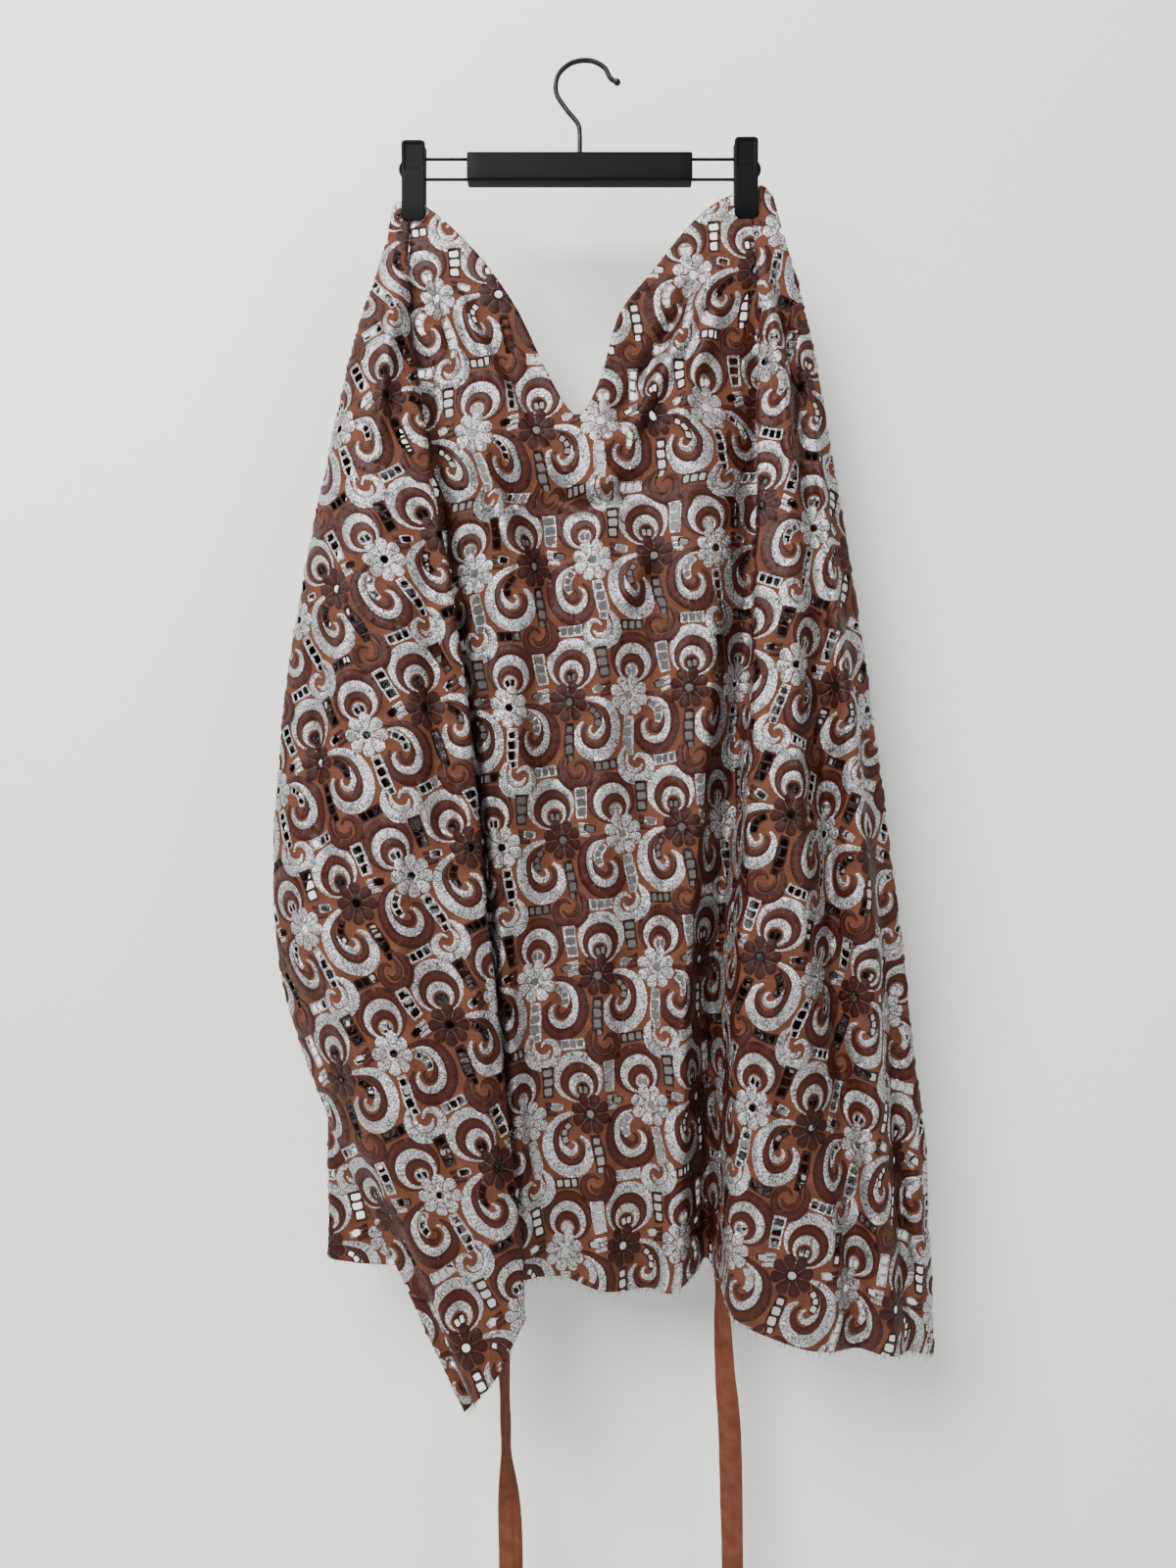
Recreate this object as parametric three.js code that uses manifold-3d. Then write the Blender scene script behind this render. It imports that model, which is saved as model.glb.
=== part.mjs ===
// A midi skirt of cutwork cloth, hung from two clips on a wire trouser hanger. Millimetres, +Z up.
// The origin is the inner top of the hook. +X is the viewer's right, and the skirt's front faces -Y.
import * as THREE from 'three';
import { mergeVertices } from 'three/addons/utils/BufferGeometryUtils.js';
import Module from 'manifold-3d';

const wasm = await Module();
wasm.setup();

// Cloth
const CLOTH_THICKNESS = 1.2;
const SEAM_GAP = 0.3;
// The gap that is asked for where two panels join on a curve, where straight faces narrow it.
const SEAM_CLEARANCE = 0.45;
const SEAM_STEP = 0.05;
const SEARCH_HALVINGS = 30;
const COLUMNS_PER_FOLD = 2;
// The cloth is gripped flat down to this height, and its first row of faces ends there.
const GRIPPED_TO = -149;
const FIRST_ROW = 6;
// The cloth's top edge between the lips of the clips. Beside the clips it slopes down or stands up.
const CLOTH_TOP = -126;

// The heights at which the fold tables give their values, from the clips down to the longest point.
const HEIGHTS = [-120, -180, -240, -330, -450, -580, -710, -840, -980, -1110, -1240];
// How far the folds have opened on the way down. Between the clip jaws the cloth is flat.
const OPENING_HEIGHTS = [-120, -136, GRIPPED_TO, -180, -240, -330, -450, -580, -710, -840, -980, -1110, -1240];
const OPENING = [0, 0, 0, 0.12, 0.3, 0.55, 0.8, 0.95, 1, 1.05, 1.12, 1.2, 1.25];

// Each row is one fold line of a panel. x is its place at each height, depth is how far back it lies
// when the folds are open (a list where that changes on the way down), top and hem are where it ends.
const FLAP = {
  layer: -1.5,
  folds: [
    { name: 'clean edge', top: -137, hem: -1218, depth: [0, 12, 16, 16, 16, 16, 16, 13, -14, -24, -30],
      x: [-180, -186, -200, -214, -234, -248, -257, -269, -229.5, -165, -100] },
    { name: 'wrap', top: -134, hem: -1217.5, depth: [0, 7, 9, 9, 9, 9, 8, 7, -16, -25, -31],
      x: [-179, -190.5, -209, -230, -254, -273, -284, -281, -228, -163.5, -99] },
    { name: 'side', top: -132, hem: -1216, depth: [0, 0, 0, 0, 0, 0, 0, 0, -18, -26, -32],
      x: [-178, -192, -212, -233, -258, -278, -288, -283, -226, -162, -97.5] },
    { name: 'shoulder', top: -129, hem: -1210, depth: -28,
      x: [-174, -186, -203, -220, -236, -247, -255, -250, -212, -150, -90] },
    { name: 'crest', top: -127, hem: -1199, depth: -46,
      x: [-171, -180, -190, -196, -196, -198, -200, -202, -180, -132, -83] },
    { name: 'slope', top: CLOTH_TOP, hem: -1176, depth: -44,
      x: [-168, -172, -174, -170, -158, -148, -142, -135, -118, -92, -66] },
    { name: 'ridge', top: CLOTH_TOP, hem: -1136, depth: -36,
      x: [-165, -166, -163, -152, -131, -112, -100, -86, -72, -60, -50] },
    { name: 'turn', top: CLOTH_TOP, hem: -1130, depth: -27,
      x: [-164, -166, -164.5, -154, -133, -115, -103, -89, -75, -63, -53] },
    { name: 'tuck', top: CLOTH_TOP, hem: -1122, depth: -21,
      x: [-163, -168, -171, -164, -148, -131, -119, -105, -91, -78, -67] },
  ],
};

// The cloth behind the flap, the middle and the right front are one run of folds, from left to right.
// The tops of the middle folds draw the V of the raw waist edge.
const BODY = {
  layer: 0,
  folds: [
    { name: 'inner', top: -133, hem: -1096, depth: 18,
      x: [-175, -181, -194, -203, -221, -233, -239, -240, -231, -232, -233] },
    { name: 'turn', top: -132, hem: -1097, depth: 9,
      x: [-174, -182.5, -196, -208, -228, -242, -249, -249, -242, -243, -244] },
    { name: 'corner', top: -130, hem: -1100, depth: 2,
      x: [-172, -180, -193, -203, -222, -236, -243, -242, -234, -234, -234] },
    { name: 'middle', top: -127, hem: -1105, depth: 2,
      x: [-168, -174, -182, -182, -182, -185, -188, -187, -184, -184, -184] },
    { name: 'left seam', top: CLOTH_TOP, hem: -1108, depth: 4,
      x: [-163, -166, -168, -160, -145, -135, -130, -128, -126, -124, -122] },
    { name: 'left strain', top: CLOTH_TOP, hem: -1110, depth: 6,
      x: [-158, -157, -152, -140, -122, -112, -107, -105, -103, -101, -100] },
    { name: 'left clip', top: -133, hem: -1112, depth: -2,
      x: [-150, -144, -135, -116, -100, -92, -87, -85, -83, -82, -81] },
    { name: 'left crest', top: -180, hem: -1114, depth: -8,
      x: [-99, -99, -98, -90, -78, -71, -67, -65, -63, -62, -61] },
    { name: 'left trough', top: -227, hem: -1116, depth: 3,
      x: [-66, -66, -66, -62, -55, -50, -47, -45, -44, -43, -42] },
    { name: 'left of the V', top: -286, hem: -1118, depth: 8,
      x: [-38, -38, -38, -37, -33, -29, -27, -26, -25, -24, -24] },
    { name: 'bottom of the V', top: -323, hem: -1122, depth: 0,
      x: [-12, -12, -12, -12, -11, -9, -7, -7, -6, -6, -6] },
    { name: 'right of the V', top: -296, hem: -1125, depth: -7,
      x: [6, 6, 6, 8, 10, 12, 13, 13, 13, 13, 13] },
    { name: 'middle slope', top: -230, hem: -1129, depth: 3,
      x: [27, 27, 27, 32, 34, 35, 35, 34, 33, 33, 33] },
    { name: 'right trough', top: -189, hem: -1130, depth: 10,
      x: [58, 58, 59, 62, 62, 61, 59, 57, 55, 54, 53] },
    { name: 'right crest', top: -142, hem: -1127, depth: -5,
      x: [98, 99, 99, 98, 94, 90, 85, 80, 77, 75, 74] },
    { name: 'right clip', top: -121, hem: -1121, depth: 12,
      x: [131, 132, 132, 130, 124, 118, 108, 100, 96, 94, 93] },
    { name: 'valley', top: CLOTH_TOP, hem: -1112, depth: 32,
      x: [147, 150.5, 155, 156, 152, 143, 130, 118, 113, 110, 108] },
    { name: 'right seam', top: CLOTH_TOP, hem: -1120, depth: 4,
      x: [148.5, 152, 156.5, 158, 155, 149, 138, 127, 121, 118, 117] },
    { name: 'ridge', top: CLOTH_TOP, hem: -1131, depth: -30,
      x: [150, 153, 154, 152, 149, 145, 140, 131, 127, 124, 124] },
    { name: 'brow', top: -118, hem: -1140, depth: -38,
      x: [152, 157, 159, 159, 157, 154, 150, 142, 139, 137, 138] },
    { name: 'first crest', top: -113, hem: -1158, depth: -44,
      x: [155, 161, 168, 175, 180, 182, 184, 184, 188, 192, 196] },
    { name: 'first trough', top: -112.5, hem: -1167, depth: -22,
      x: [158, 169, 180, 192, 203, 210, 216, 222, 230, 238, 243] },
    { name: 'second crest', top: -114, hem: -1168, depth: -33,
      x: [161, 174, 187, 201, 215, 226, 236, 245, 256, 266, 272] },
    { name: 'second trough', top: -117, hem: -1176, depth: -12,
      x: [164, 179, 194, 208, 226, 240, 254, 266, 278, 288, 292] },
    { name: 'side', top: -121, hem: -1184, depth: 0,
      x: [167, 185, 201, 217, 238, 256, 275, 290, 305, 313, 315] },
    { name: 'clean edge', top: -124, hem: -1183, depth: 8,
      x: [168, 184, 199, 214, 234, 252, 270, 286, 303, 311, 313] },
  ],
};

const BEHIND_RIGHT = {
  layer: 1.5,
  folds: [
    { name: 'left edge', top: CLOTH_TOP, hem: -1094,
      depth: [37, 37, 37, 37, 37, 37, 36.5, 36, 35, 34.5, 34.5],
      x: [148, 147, 145, 142, 134, 126, 118, 112, 108, 106, 104] },
    { name: 'behind the valley', top: CLOTH_TOP, hem: -1096,
      depth: [37, 37, 37, 37, 37, 37, 36.5, 36, 35, 34.5, 34.5],
      x: [151, 155, 159, 161, 158, 152, 144, 136, 131, 128, 127] },
    { name: 'first swell', top: CLOTH_TOP, hem: -1101, depth: 18,
      x: [156, 166, 174, 182, 190, 194, 196, 198, 196, 196, 196] },
    { name: 'hollow', top: CLOTH_TOP, hem: -1102, depth: 12,
      x: [160, 171, 184, 198, 210, 220, 228, 236, 236, 240, 244] },
    { name: 'right edge', top: CLOTH_TOP, hem: -1100, depth: 16,
      x: [163, 178, 193, 208, 228, 243, 256, 262, 264, 268, 270] },
  ],
};

// The cutwork repeats as a silver and a brown unit side by side. Every other row is its mirror image.
const UNIT_WIDTH = 60;
const ROW_HEIGHT = 126;
const ROW_SHIFT = -21;
const HOLE_DEPTH = 5;
const HOLE_MARGIN = 7;
// Rows and units are looked for this many each way from the silver flower that is given.
const GRAIN_REACH = 12;
// The widest gaps of one unit, measured from the middle of its flower. The hidden layers have the first.
const UNIT_HOLES = [
  { name: 'above the small scroll', right: -5, up: -43.5, wide: 7, high: 7.5 },
  { name: 'between two crescents', right: -23, up: 32.5, wide: 8.5, high: 6.5 },
];

// Each panel is a stretch of one drape. Its grain says where one silver flower sits, as a length
// along the cloth from a fold and a height, and how far the cloth's grain is turned there.
const PANELS = {
  left_front: {
    drape: FLAP, from: 'clean edge', to: 'tuck', rows: 20, colour: 0x9c5f42,
    holes: 2,
    grain: { fold: 'ridge', along: -94, height: -619, turned: 24 },
  },
  left_back: {
    drape: BODY, from: 'inner', to: 'left seam', rows: 16, colour: 0x7d4a36,
    holes: 1,
    grain: { fold: 'left seam', along: -30, height: -560, turned: 10 },
  },
  centre_front: {
    drape: BODY, from: 'left seam', to: 'right seam', rows: 16, colour: 0xb0714f,
    holes: 2,
    grain: { fold: 'bottom of the V', along: 48, height: -580, turned: 6 },
  },
  right_front: {
    drape: BODY, from: 'right seam', to: 'clean edge', rows: 16, colour: 0xa56a4a,
    holes: 2,
    grain: { fold: 'ridge', along: 43, height: -557, turned: -18 },
  },
  right_back: {
    drape: BEHIND_RIGHT, from: 'left edge', to: 'right edge', rows: 12, colour: 0x7d4a36,
    holes: 1,
    grain: { fold: 'left edge', along: 40, height: -500, turned: 0 },
  },
};

// Ties: narrow strips of plain cloth that hang behind the skirt from its waist edge.
const TIE_WIDTH = 22;
const TIE_THICKNESS = 1.6;
const TIE_CREASE = 1.5;
const TIE_CLEARANCE = 0.5;
const TIE_COLOUR = 0x966450;
const TIE_ROWS = 26;
const TIE_COLUMNS = 2;
const TIES = {
  left_tie: {
    top: -232, bottom: -1425, x: -82, behind: 26, swing: 120,
    turn: [
      { height: -232, angle: 0, shift: 0 },
      { height: -1000, angle: 20, shift: 0 },
      { height: -1180, angle: 60, shift: 1 },
      { height: -1290, angle: 69, shift: 3 },
      { height: -1360, angle: 8, shift: 7 },
      { height: -1425, angle: 4, shift: 8 },
    ],
  },
  right_tie: {
    top: -152, bottom: -1440, x: 128, behind: 56, swing: 420,
    turn: [
      { height: -152, angle: 0, shift: 0 },
      { height: -900, angle: -50, shift: -2 },
      { height: -1110, angle: -68, shift: -2 },
      { height: -1220, angle: -40, shift: 2 },
      { height: -1290, angle: -15, shift: 7 },
      { height: -1440, angle: -36, shift: 10 },
    ],
  },
};

// Hanger
const HOOK_WIRE = 4.5;
const HOOK_POINTS = [
  [-9.4, -84.7], [-9.4, -66], [-11, -56], [-22, -42], [-31, -27], [-29, -11], [-17, 0], [0, HOOK_WIRE / 2],
  [13, -4], [19, -14], [25, -17.5],
];
const HOOK_STEPS = 32;
const HALF_HOOK_SIDES = 5;
const HOOK_TIP_RADIUS = 3.2;
const BAR = { left: -112.5, right: 93.6, top: -85, bottom: -111, depth: 17, corner: 2 };
const WIRE = 2.7;
const HALF_WIRE_SIDES = 4;
const WIRE_STEPS = 24;
const WIRE_LEGS = { upper: -88.4, lower: -107 };
const WIRE_RUN = {
  left_wire: { from: -112.5, to: -165, way: -1 },
  right_wire: { from: 93.6, to: 146.5, way: 1 },
};
const CLIP = {
  width: 21.6, top: -73, bottom: -144.5, jaw: 4.2, opening: WIRE + 2 * SEAM_GAP, grip: 21, lean: 1.6,
};
// The lip's thickness at its foot, its chamfer, and the slope from the shank down to the lip.
const LIP = { foot: 1.2, chamfer: 1, slope: 4 };
const CLIPS = {
  left: { x: -161.5, raise: -1, front: 2.4, back: 0.9 },
  right: { x: 143, raise: 2, front: 0.9, back: 2.4 },
};
const PIN = { height: -97.6, length: 15, sides: 12 };

// Colours of the hanger's metal and plastic
const [STEEL, BAR_BLACK, WIRE_BLACK, CLIP_BLACK] = [0x8f9293, 0x2b2c2e, 0x202123, 0x232a2d];

const hanger = new THREE.Group();
const skirt = new THREE.Group();

// A smooth value through a table, with the slope at each entry taken from its neighbours.
function through(places, values, at) {
  const last = places.length - 1;
  const down = places[last] < places[0] ? -1 : 1;
  let i = 0;
  while (i < last - 1 && (at - places[i + 1]) * down > 0) i++;
  const slope = (k) => {
    const a = Math.max(0, k - 1);
    const b = Math.min(last, k + 1);
    return (values[b] - values[a]) / (places[b] - places[a]);
  };
  const span = places[i + 1] - places[i];
  const t = Math.min(1, Math.max(0, (at - places[i]) / span));
  const [t2, t3] = [t * t, t * t * t];
  return (2 * t3 - 3 * t2 + 1) * values[i] + (t3 - 2 * t2 + t) * span * slope(i)
    + (3 * t2 - 2 * t3) * values[i + 1] + (t3 - t2) * span * slope(i + 1);
}

// The fold lines of a drape where a level cut at this height meets them, seen from above.
function levelCut(drape, height) {
  const opening = Math.max(0, through(OPENING_HEIGHTS, OPENING, height));
  return drape.folds.map((fold) => {
    const depth = Array.isArray(fold.depth) ? through(HEIGHTS, fold.depth, height) : fold.depth;
    return [through(HEIGHTS, fold.x, height), drape.layer + depth * opening];
  });
}

// A point on that cut. place runs from 0 at the first fold to the last fold's number.
function onCut(cut, place) {
  const knots = [0];
  for (let i = 1; i < cut.length; i++) {
    const gap = Math.hypot(cut[i][0] - cut[i - 1][0], cut[i][1] - cut[i - 1][1]);
    knots.push(knots[i - 1] + Math.sqrt(gap));
  }
  const i = Math.min(cut.length - 2, Math.floor(place));
  const at = knots[i] + (place - i) * (knots[i + 1] - knots[i]);
  return [0, 1].map((axis) => through(knots, cut.map((point) => point[axis]), at));
}

function clothPoint(drape, place, height) {
  const [x, y] = onCut(levelCut(drape, height), place);
  return new THREE.Vector3(x, y, height);
}

// The way the cloth faces, towards the viewer on a panel that lies flat, from points this far apart.
const PLACE_STEP = 0.02;
const HEIGHT_STEP = 2;
function clothNormal(drape, place, height) {
  const along = clothPoint(drape, Math.min(drape.folds.length - 1, place + PLACE_STEP), height)
    .sub(clothPoint(drape, Math.max(0, place - PLACE_STEP), height));
  const down = clothPoint(drape, place, height - HEIGHT_STEP)
    .sub(clothPoint(drape, place, height + HEIGHT_STEP));
  return down.cross(along).normalize();
}

const foldNumber = (drape, name) => drape.folds.findIndex((fold) => fold.name === name);

// A value that each fold of a drape has, such as its top, at a place between folds.
function foldValue(drape, key, place) {
  return through(drape.folds.map((fold, i) => i), drape.folds.map((fold) => fold[key]), place);
}

// Two grids of points, the outer and the inner face of a sheet, closed round their edges.
function closedSheet(outer, inner) {
  const rows = outer.length;
  const columns = outer[0].length;
  const positions = [];
  for (const grid of [outer, inner]) {
    for (const row of grid) row.forEach((p) => positions.push(p.x, p.y, p.z));
  }
  const index = (side, r, c) => side * rows * columns + r * columns + c;
  const triangles = [];
  const quad = (a, b, c, d) => triangles.push(a, b, c, a, c, d);
  for (let r = 0; r < rows - 1; r++) {
    for (let c = 0; c < columns - 1; c++) {
      quad(index(0, r, c), index(0, r + 1, c), index(0, r + 1, c + 1), index(0, r, c + 1));
      quad(index(1, r, c), index(1, r, c + 1), index(1, r + 1, c + 1), index(1, r + 1, c));
    }
  }
  for (let r = 0; r < rows - 1; r++) {
    const end = columns - 1;
    quad(index(0, r, 0), index(1, r, 0), index(1, r + 1, 0), index(0, r + 1, 0));
    quad(index(0, r, end), index(0, r + 1, end), index(1, r + 1, end), index(1, r, end));
  }
  for (let c = 0; c < columns - 1; c++) {
    const end = rows - 1;
    quad(index(0, 0, c), index(0, 0, c + 1), index(1, 0, c + 1), index(1, 0, c));
    quad(index(0, end, c), index(1, end, c), index(1, end, c + 1), index(0, end, c + 1));
  }
  const geometry = new THREE.BufferGeometry();
  geometry.setAttribute('position', new THREE.Float32BufferAttribute(positions, 3));
  geometry.setIndex(triangles);
  return geometry;
}

function toSolid(geometry) {
  const bare = geometry.clone();
  bare.deleteAttribute('normal');
  bare.deleteAttribute('uv');
  const merged = mergeVertices(bare, 1e-4);
  return new wasm.Manifold(new wasm.Mesh({
    numProp: 3,
    vertProperties: new Float32Array(merged.attributes.position.array),
    triVerts: new Uint32Array(merged.index.array),
  }));
}

function toGeometry(solid) {
  const mesh = solid.getMesh();
  const geometry = new THREE.BufferGeometry();
  geometry.setAttribute('position', new THREE.BufferAttribute(new Float32Array(mesh.vertProperties), 3));
  geometry.setIndex(new THREE.BufferAttribute(new Uint32Array(mesh.triVerts), 1));
  return geometry;
}

// The next place past a seam where the sheet is clear of its neighbour by the seam's gap.
function clearOfSeam(drape, place, height, way) {
  const nearby = clothPoint(drape, place + way * SEAM_STEP, height);
  const length = clothPoint(drape, place, height).distanceTo(nearby);
  return place + way * SEAM_STEP * (SEAM_CLEARANCE / length);
}

function wall({ drape, from, to, rows }) {
  const first = foldNumber(drape, from);
  const last = foldNumber(drape, to);
  const columns = (last - first) * COLUMNS_PER_FOLD;
  const outer = [];
  const inner = [];
  for (let r = 0; r <= rows; r++) {
    outer.push([]);
    inner.push([]);
    for (let c = 0; c <= columns; c++) {
      const fold = first + c / COLUMNS_PER_FOLD;
      const top = foldValue(drape, 'top', fold);
      const hem = foldValue(drape, 'hem', fold);
      const start = Math.min(top - FIRST_ROW, GRIPPED_TO);
      const height = r === 0 ? top : start + (hem - start) * ((r - 1) / (rows - 1));
      const afterSeam = c === 0 && first > 0;
      const place = afterSeam ? clearOfSeam(drape, fold, height, 1) : fold;
      const middle = clothPoint(drape, place, height);
      const offset = clothNormal(drape, place, height).multiplyScalar(CLOTH_THICKNESS / 2);
      outer[r].push(middle.clone().add(offset));
      inner[r].push(middle.clone().sub(offset));
    }
  }
  return closedSheet(outer, inner);
}

// How far along the cloth each place lies from a named fold, at one height.
function lengthsAcross(drape, height, fromFold) {
  const cut = levelCut(drape, height);
  const finer = 8;
  const lengths = [0];
  let before = onCut(cut, 0);
  for (let i = 1; i <= (cut.length - 1) * finer; i++) {
    const here = onCut(cut, i / finer);
    lengths.push(lengths[i - 1] + Math.hypot(here[0] - before[0], here[1] - before[1]));
    before = here;
  }
  const start = lengths[foldNumber(drape, fromFold) * finer];
  return lengths.map((length, i) => ({ place: i / finer, length: length - start }));
}

function placeAt(table, length) {
  for (let i = 1; i < table.length; i++) {
    if (table[i].length >= length) {
      const share = (length - table[i - 1].length) / (table[i].length - table[i - 1].length);
      return table[i - 1].place + share * (table[i].place - table[i - 1].place);
    }
  }
  return Infinity;
}

// The middles of the gaps that fall inside a panel, as places and heights on its cloth.
function gapsOf({ drape, from, to, grain, holes }) {
  const turned = THREE.MathUtils.degToRad(grain.turned);
  const [cos, sin] = [Math.cos(turned), Math.sin(turned)];
  const first = foldNumber(drape, from);
  const last = foldNumber(drape, to);
  const found = [];
  for (let row = -GRAIN_REACH; row <= GRAIN_REACH; row++) {
    const mirror = row % 2 === 0 ? 1 : -1;
    const shift = row % 2 === 0 ? 0 : ROW_SHIFT;
    for (let unit = -GRAIN_REACH; unit <= GRAIN_REACH; unit++) {
      for (const hole of UNIT_HOLES.slice(0, holes)) {
        const across = unit * UNIT_WIDTH + shift + mirror * hole.right;
        const up = row * ROW_HEIGHT + hole.up;
        const length = grain.along + across * cos - up * sin;
        const height = grain.height + across * sin + up * cos;
        if (height > CLIP.bottom || height < HEIGHTS.at(-1)) continue;
        const table = lengthsAcross(drape, height, grain.fold);
        const place = placeAt(table, length);
        const [left, right] = [placeAt(table, length - HOLE_MARGIN), placeAt(table, length + HOLE_MARGIN)];
        if (left <= first || right >= last) continue;
        const top = foldValue(drape, 'top', place) - HOLE_MARGIN;
        const hem = foldValue(drape, 'hem', place) + HOLE_MARGIN;
        if (height > top || height < hem) continue;
        found.push({ place, height, hole, turned });
      }
    }
  }
  return found;
}

function cutGaps(panel) {
  const drape = panel.drape;
  let solid = toSolid(wall(panel));
  for (const gap of gapsOf(panel)) {
    const middle = clothPoint(drape, gap.place, gap.height);
    const out = clothNormal(drape, gap.place, gap.height);
    const up = new THREE.Vector3(0, 0, 1).addScaledVector(out, -out.z).normalize();
    up.applyAxisAngle(out, gap.turned);
    const right = new THREE.Vector3().crossVectors(up, out);
    const prism = new THREE.BoxGeometry(gap.hole.wide, gap.hole.high, HOLE_DEPTH);
    prism.applyMatrix4(new THREE.Matrix4().makeBasis(right, up, out).setPosition(middle));
    solid = solid.subtract(toSolid(prism));
  }
  return solid;
}

function add(group, name, geometry, colour, roughness = 0.85, metalness = 0) {
  const material = new THREE.MeshStandardMaterial({ color: colour, roughness, metalness });
  const mesh = new THREE.Mesh(geometry, material);
  mesh.name = name;
  group.add(mesh);
}

// The back face of the middle panel, where a tie is sewn on.
function backOfCentre(x, height) {
  let low = foldNumber(BODY, 'left seam');
  let high = foldNumber(BODY, 'right clip');
  const cut = levelCut(BODY, height);
  for (let i = 0; i < SEARCH_HALVINGS; i++) {
    const middle = (low + high) / 2;
    if (onCut(cut, middle)[0] < x) low = middle;
    else high = middle;
  }
  return onCut(cut, low)[1] + CLOTH_THICKNESS / 2;
}

// A flat strip that lies against the cloth at its top, swings clear behind it, and turns as it hangs.
function tie(name, form) {
  const [rows, columns] = [TIE_ROWS, TIE_COLUMNS];
  const heights = form.turn.map((row) => row.height);
  const outer = [];
  const inner = [];
  for (let r = 0; r <= rows; r++) {
    const height = form.top + (form.bottom - form.top) * (r / rows);
    const angle = THREE.MathUtils.degToRad(through(heights, form.turn.map((row) => row.angle), height));
    const shift = through(heights, form.turn.map((row) => row.shift), height);
    const swing = THREE.MathUtils.smoothstep(form.top - height, 0, form.swing);
    outer.push([]);
    inner.push([]);
    for (let c = 0; c <= columns; c++) {
      const across = (c / columns - 0.5) * TIE_WIDTH;
      const crease = TIE_CREASE * swing * (1 - Math.abs(across) / (TIE_WIDTH / 2));
      const x = form.x + shift + across * Math.cos(angle) + crease * Math.sin(angle);
      const y = across * Math.sin(angle) * swing - crease * Math.cos(angle);
      const sewn = backOfCentre(form.x + across, height) + TIE_CLEARANCE + TIE_THICKNESS / 2;
      const hung = form.behind + y;
      const middle = new THREE.Vector3(x, Math.max(sewn, sewn + (hung - sewn) * swing), height);
      const facing = new THREE.Vector3(Math.sin(angle) * swing, -Math.cos(angle), 0).normalize();
      facing.multiplyScalar(TIE_THICKNESS / 2);
      outer[r].push(middle.clone().add(facing));
      inner[r].push(middle.clone().sub(facing));
    }
  }
  add(skirt, name, closedSheet(outer, inner), TIE_COLOUR);
}

// A round wire along a list of points in the plane of the hanger.
function wire(points, diameter, halfSides, steps) {
  const corners = points.map(([x, z]) => new THREE.Vector3(x, 0, z));
  const path = new THREE.CatmullRomCurve3(corners, false, 'centripetal');
  const circle = new THREE.Shape();
  circle.absarc(0, 0, diameter / 2, 0, Math.PI * 2);
  return new THREE.ExtrudeGeometry(circle, {
    steps, extrudePath: path, bevelEnabled: false, curveSegments: halfSides,
  });
}

function hook() {
  const rod = toSolid(wire(HOOK_POINTS, HOOK_WIRE, HALF_HOOK_SIDES, HOOK_STEPS));
  const [x, z] = HOOK_POINTS.at(-1);
  const tip = new THREE.SphereGeometry(HOOK_TIP_RADIUS, 10, 7).translate(x, 0, z);
  add(hanger, 'hanger_hook', toGeometry(rod.add(toSolid(tip))), STEEL, 0.35, 1);
}

function roundedBox(wide, high, deep, corner) {
  const shape = new THREE.Shape();
  const [w, h] = [wide / 2 - corner, high / 2 - corner];
  shape.absarc(w, h, corner, 0, Math.PI / 2);
  shape.absarc(-w, h, corner, Math.PI / 2, Math.PI);
  shape.absarc(-w, -h, corner, Math.PI, Math.PI * 1.5);
  shape.absarc(w, -h, corner, Math.PI * 1.5, Math.PI * 2);
  const box = new THREE.ExtrudeGeometry(shape, { depth: deep, bevelEnabled: false, curveSegments: 3 });
  return box.translate(0, 0, -deep / 2).rotateX(Math.PI / 2);
}

// The bar, with the sockets that the hook and the wires stand in.
function bar() {
  const wide = BAR.right - BAR.left;
  const high = BAR.top - BAR.bottom;
  const body = roundedBox(wide, high, BAR.depth, BAR.corner)
    .translate((BAR.left + BAR.right) / 2, 0, (BAR.top + BAR.bottom) / 2);
  add(hanger, 'hanger_bar', body, BAR_BLACK, 0.5);
}

// Two legs joined by a round end outside the clip, in one bent wire.
function sideWire(name, run) {
  const radius = (WIRE_LEGS.upper - WIRE_LEGS.lower) / 2;
  const middle = (WIRE_LEGS.upper + WIRE_LEGS.lower) / 2;
  const start = run.from + run.way * SEAM_GAP;
  const points = [[start, WIRE_LEGS.upper], [start + (run.to - start) * 0.5, WIRE_LEGS.upper]];
  const turns = 8;
  for (let i = 0; i <= turns; i++) {
    const angle = Math.PI / 2 - (Math.PI * i) / turns;
    points.push([run.to + run.way * radius * Math.cos(angle), middle + radius * Math.sin(angle)]);
  }
  points.push([start + (run.to - start) * 0.5, WIRE_LEGS.lower], [start, WIRE_LEGS.lower]);
  add(hanger, name, wire(points, WIRE, HALF_WIRE_SIDES, WIRE_STEPS), WIRE_BLACK, 0.4, 1);
}

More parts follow.
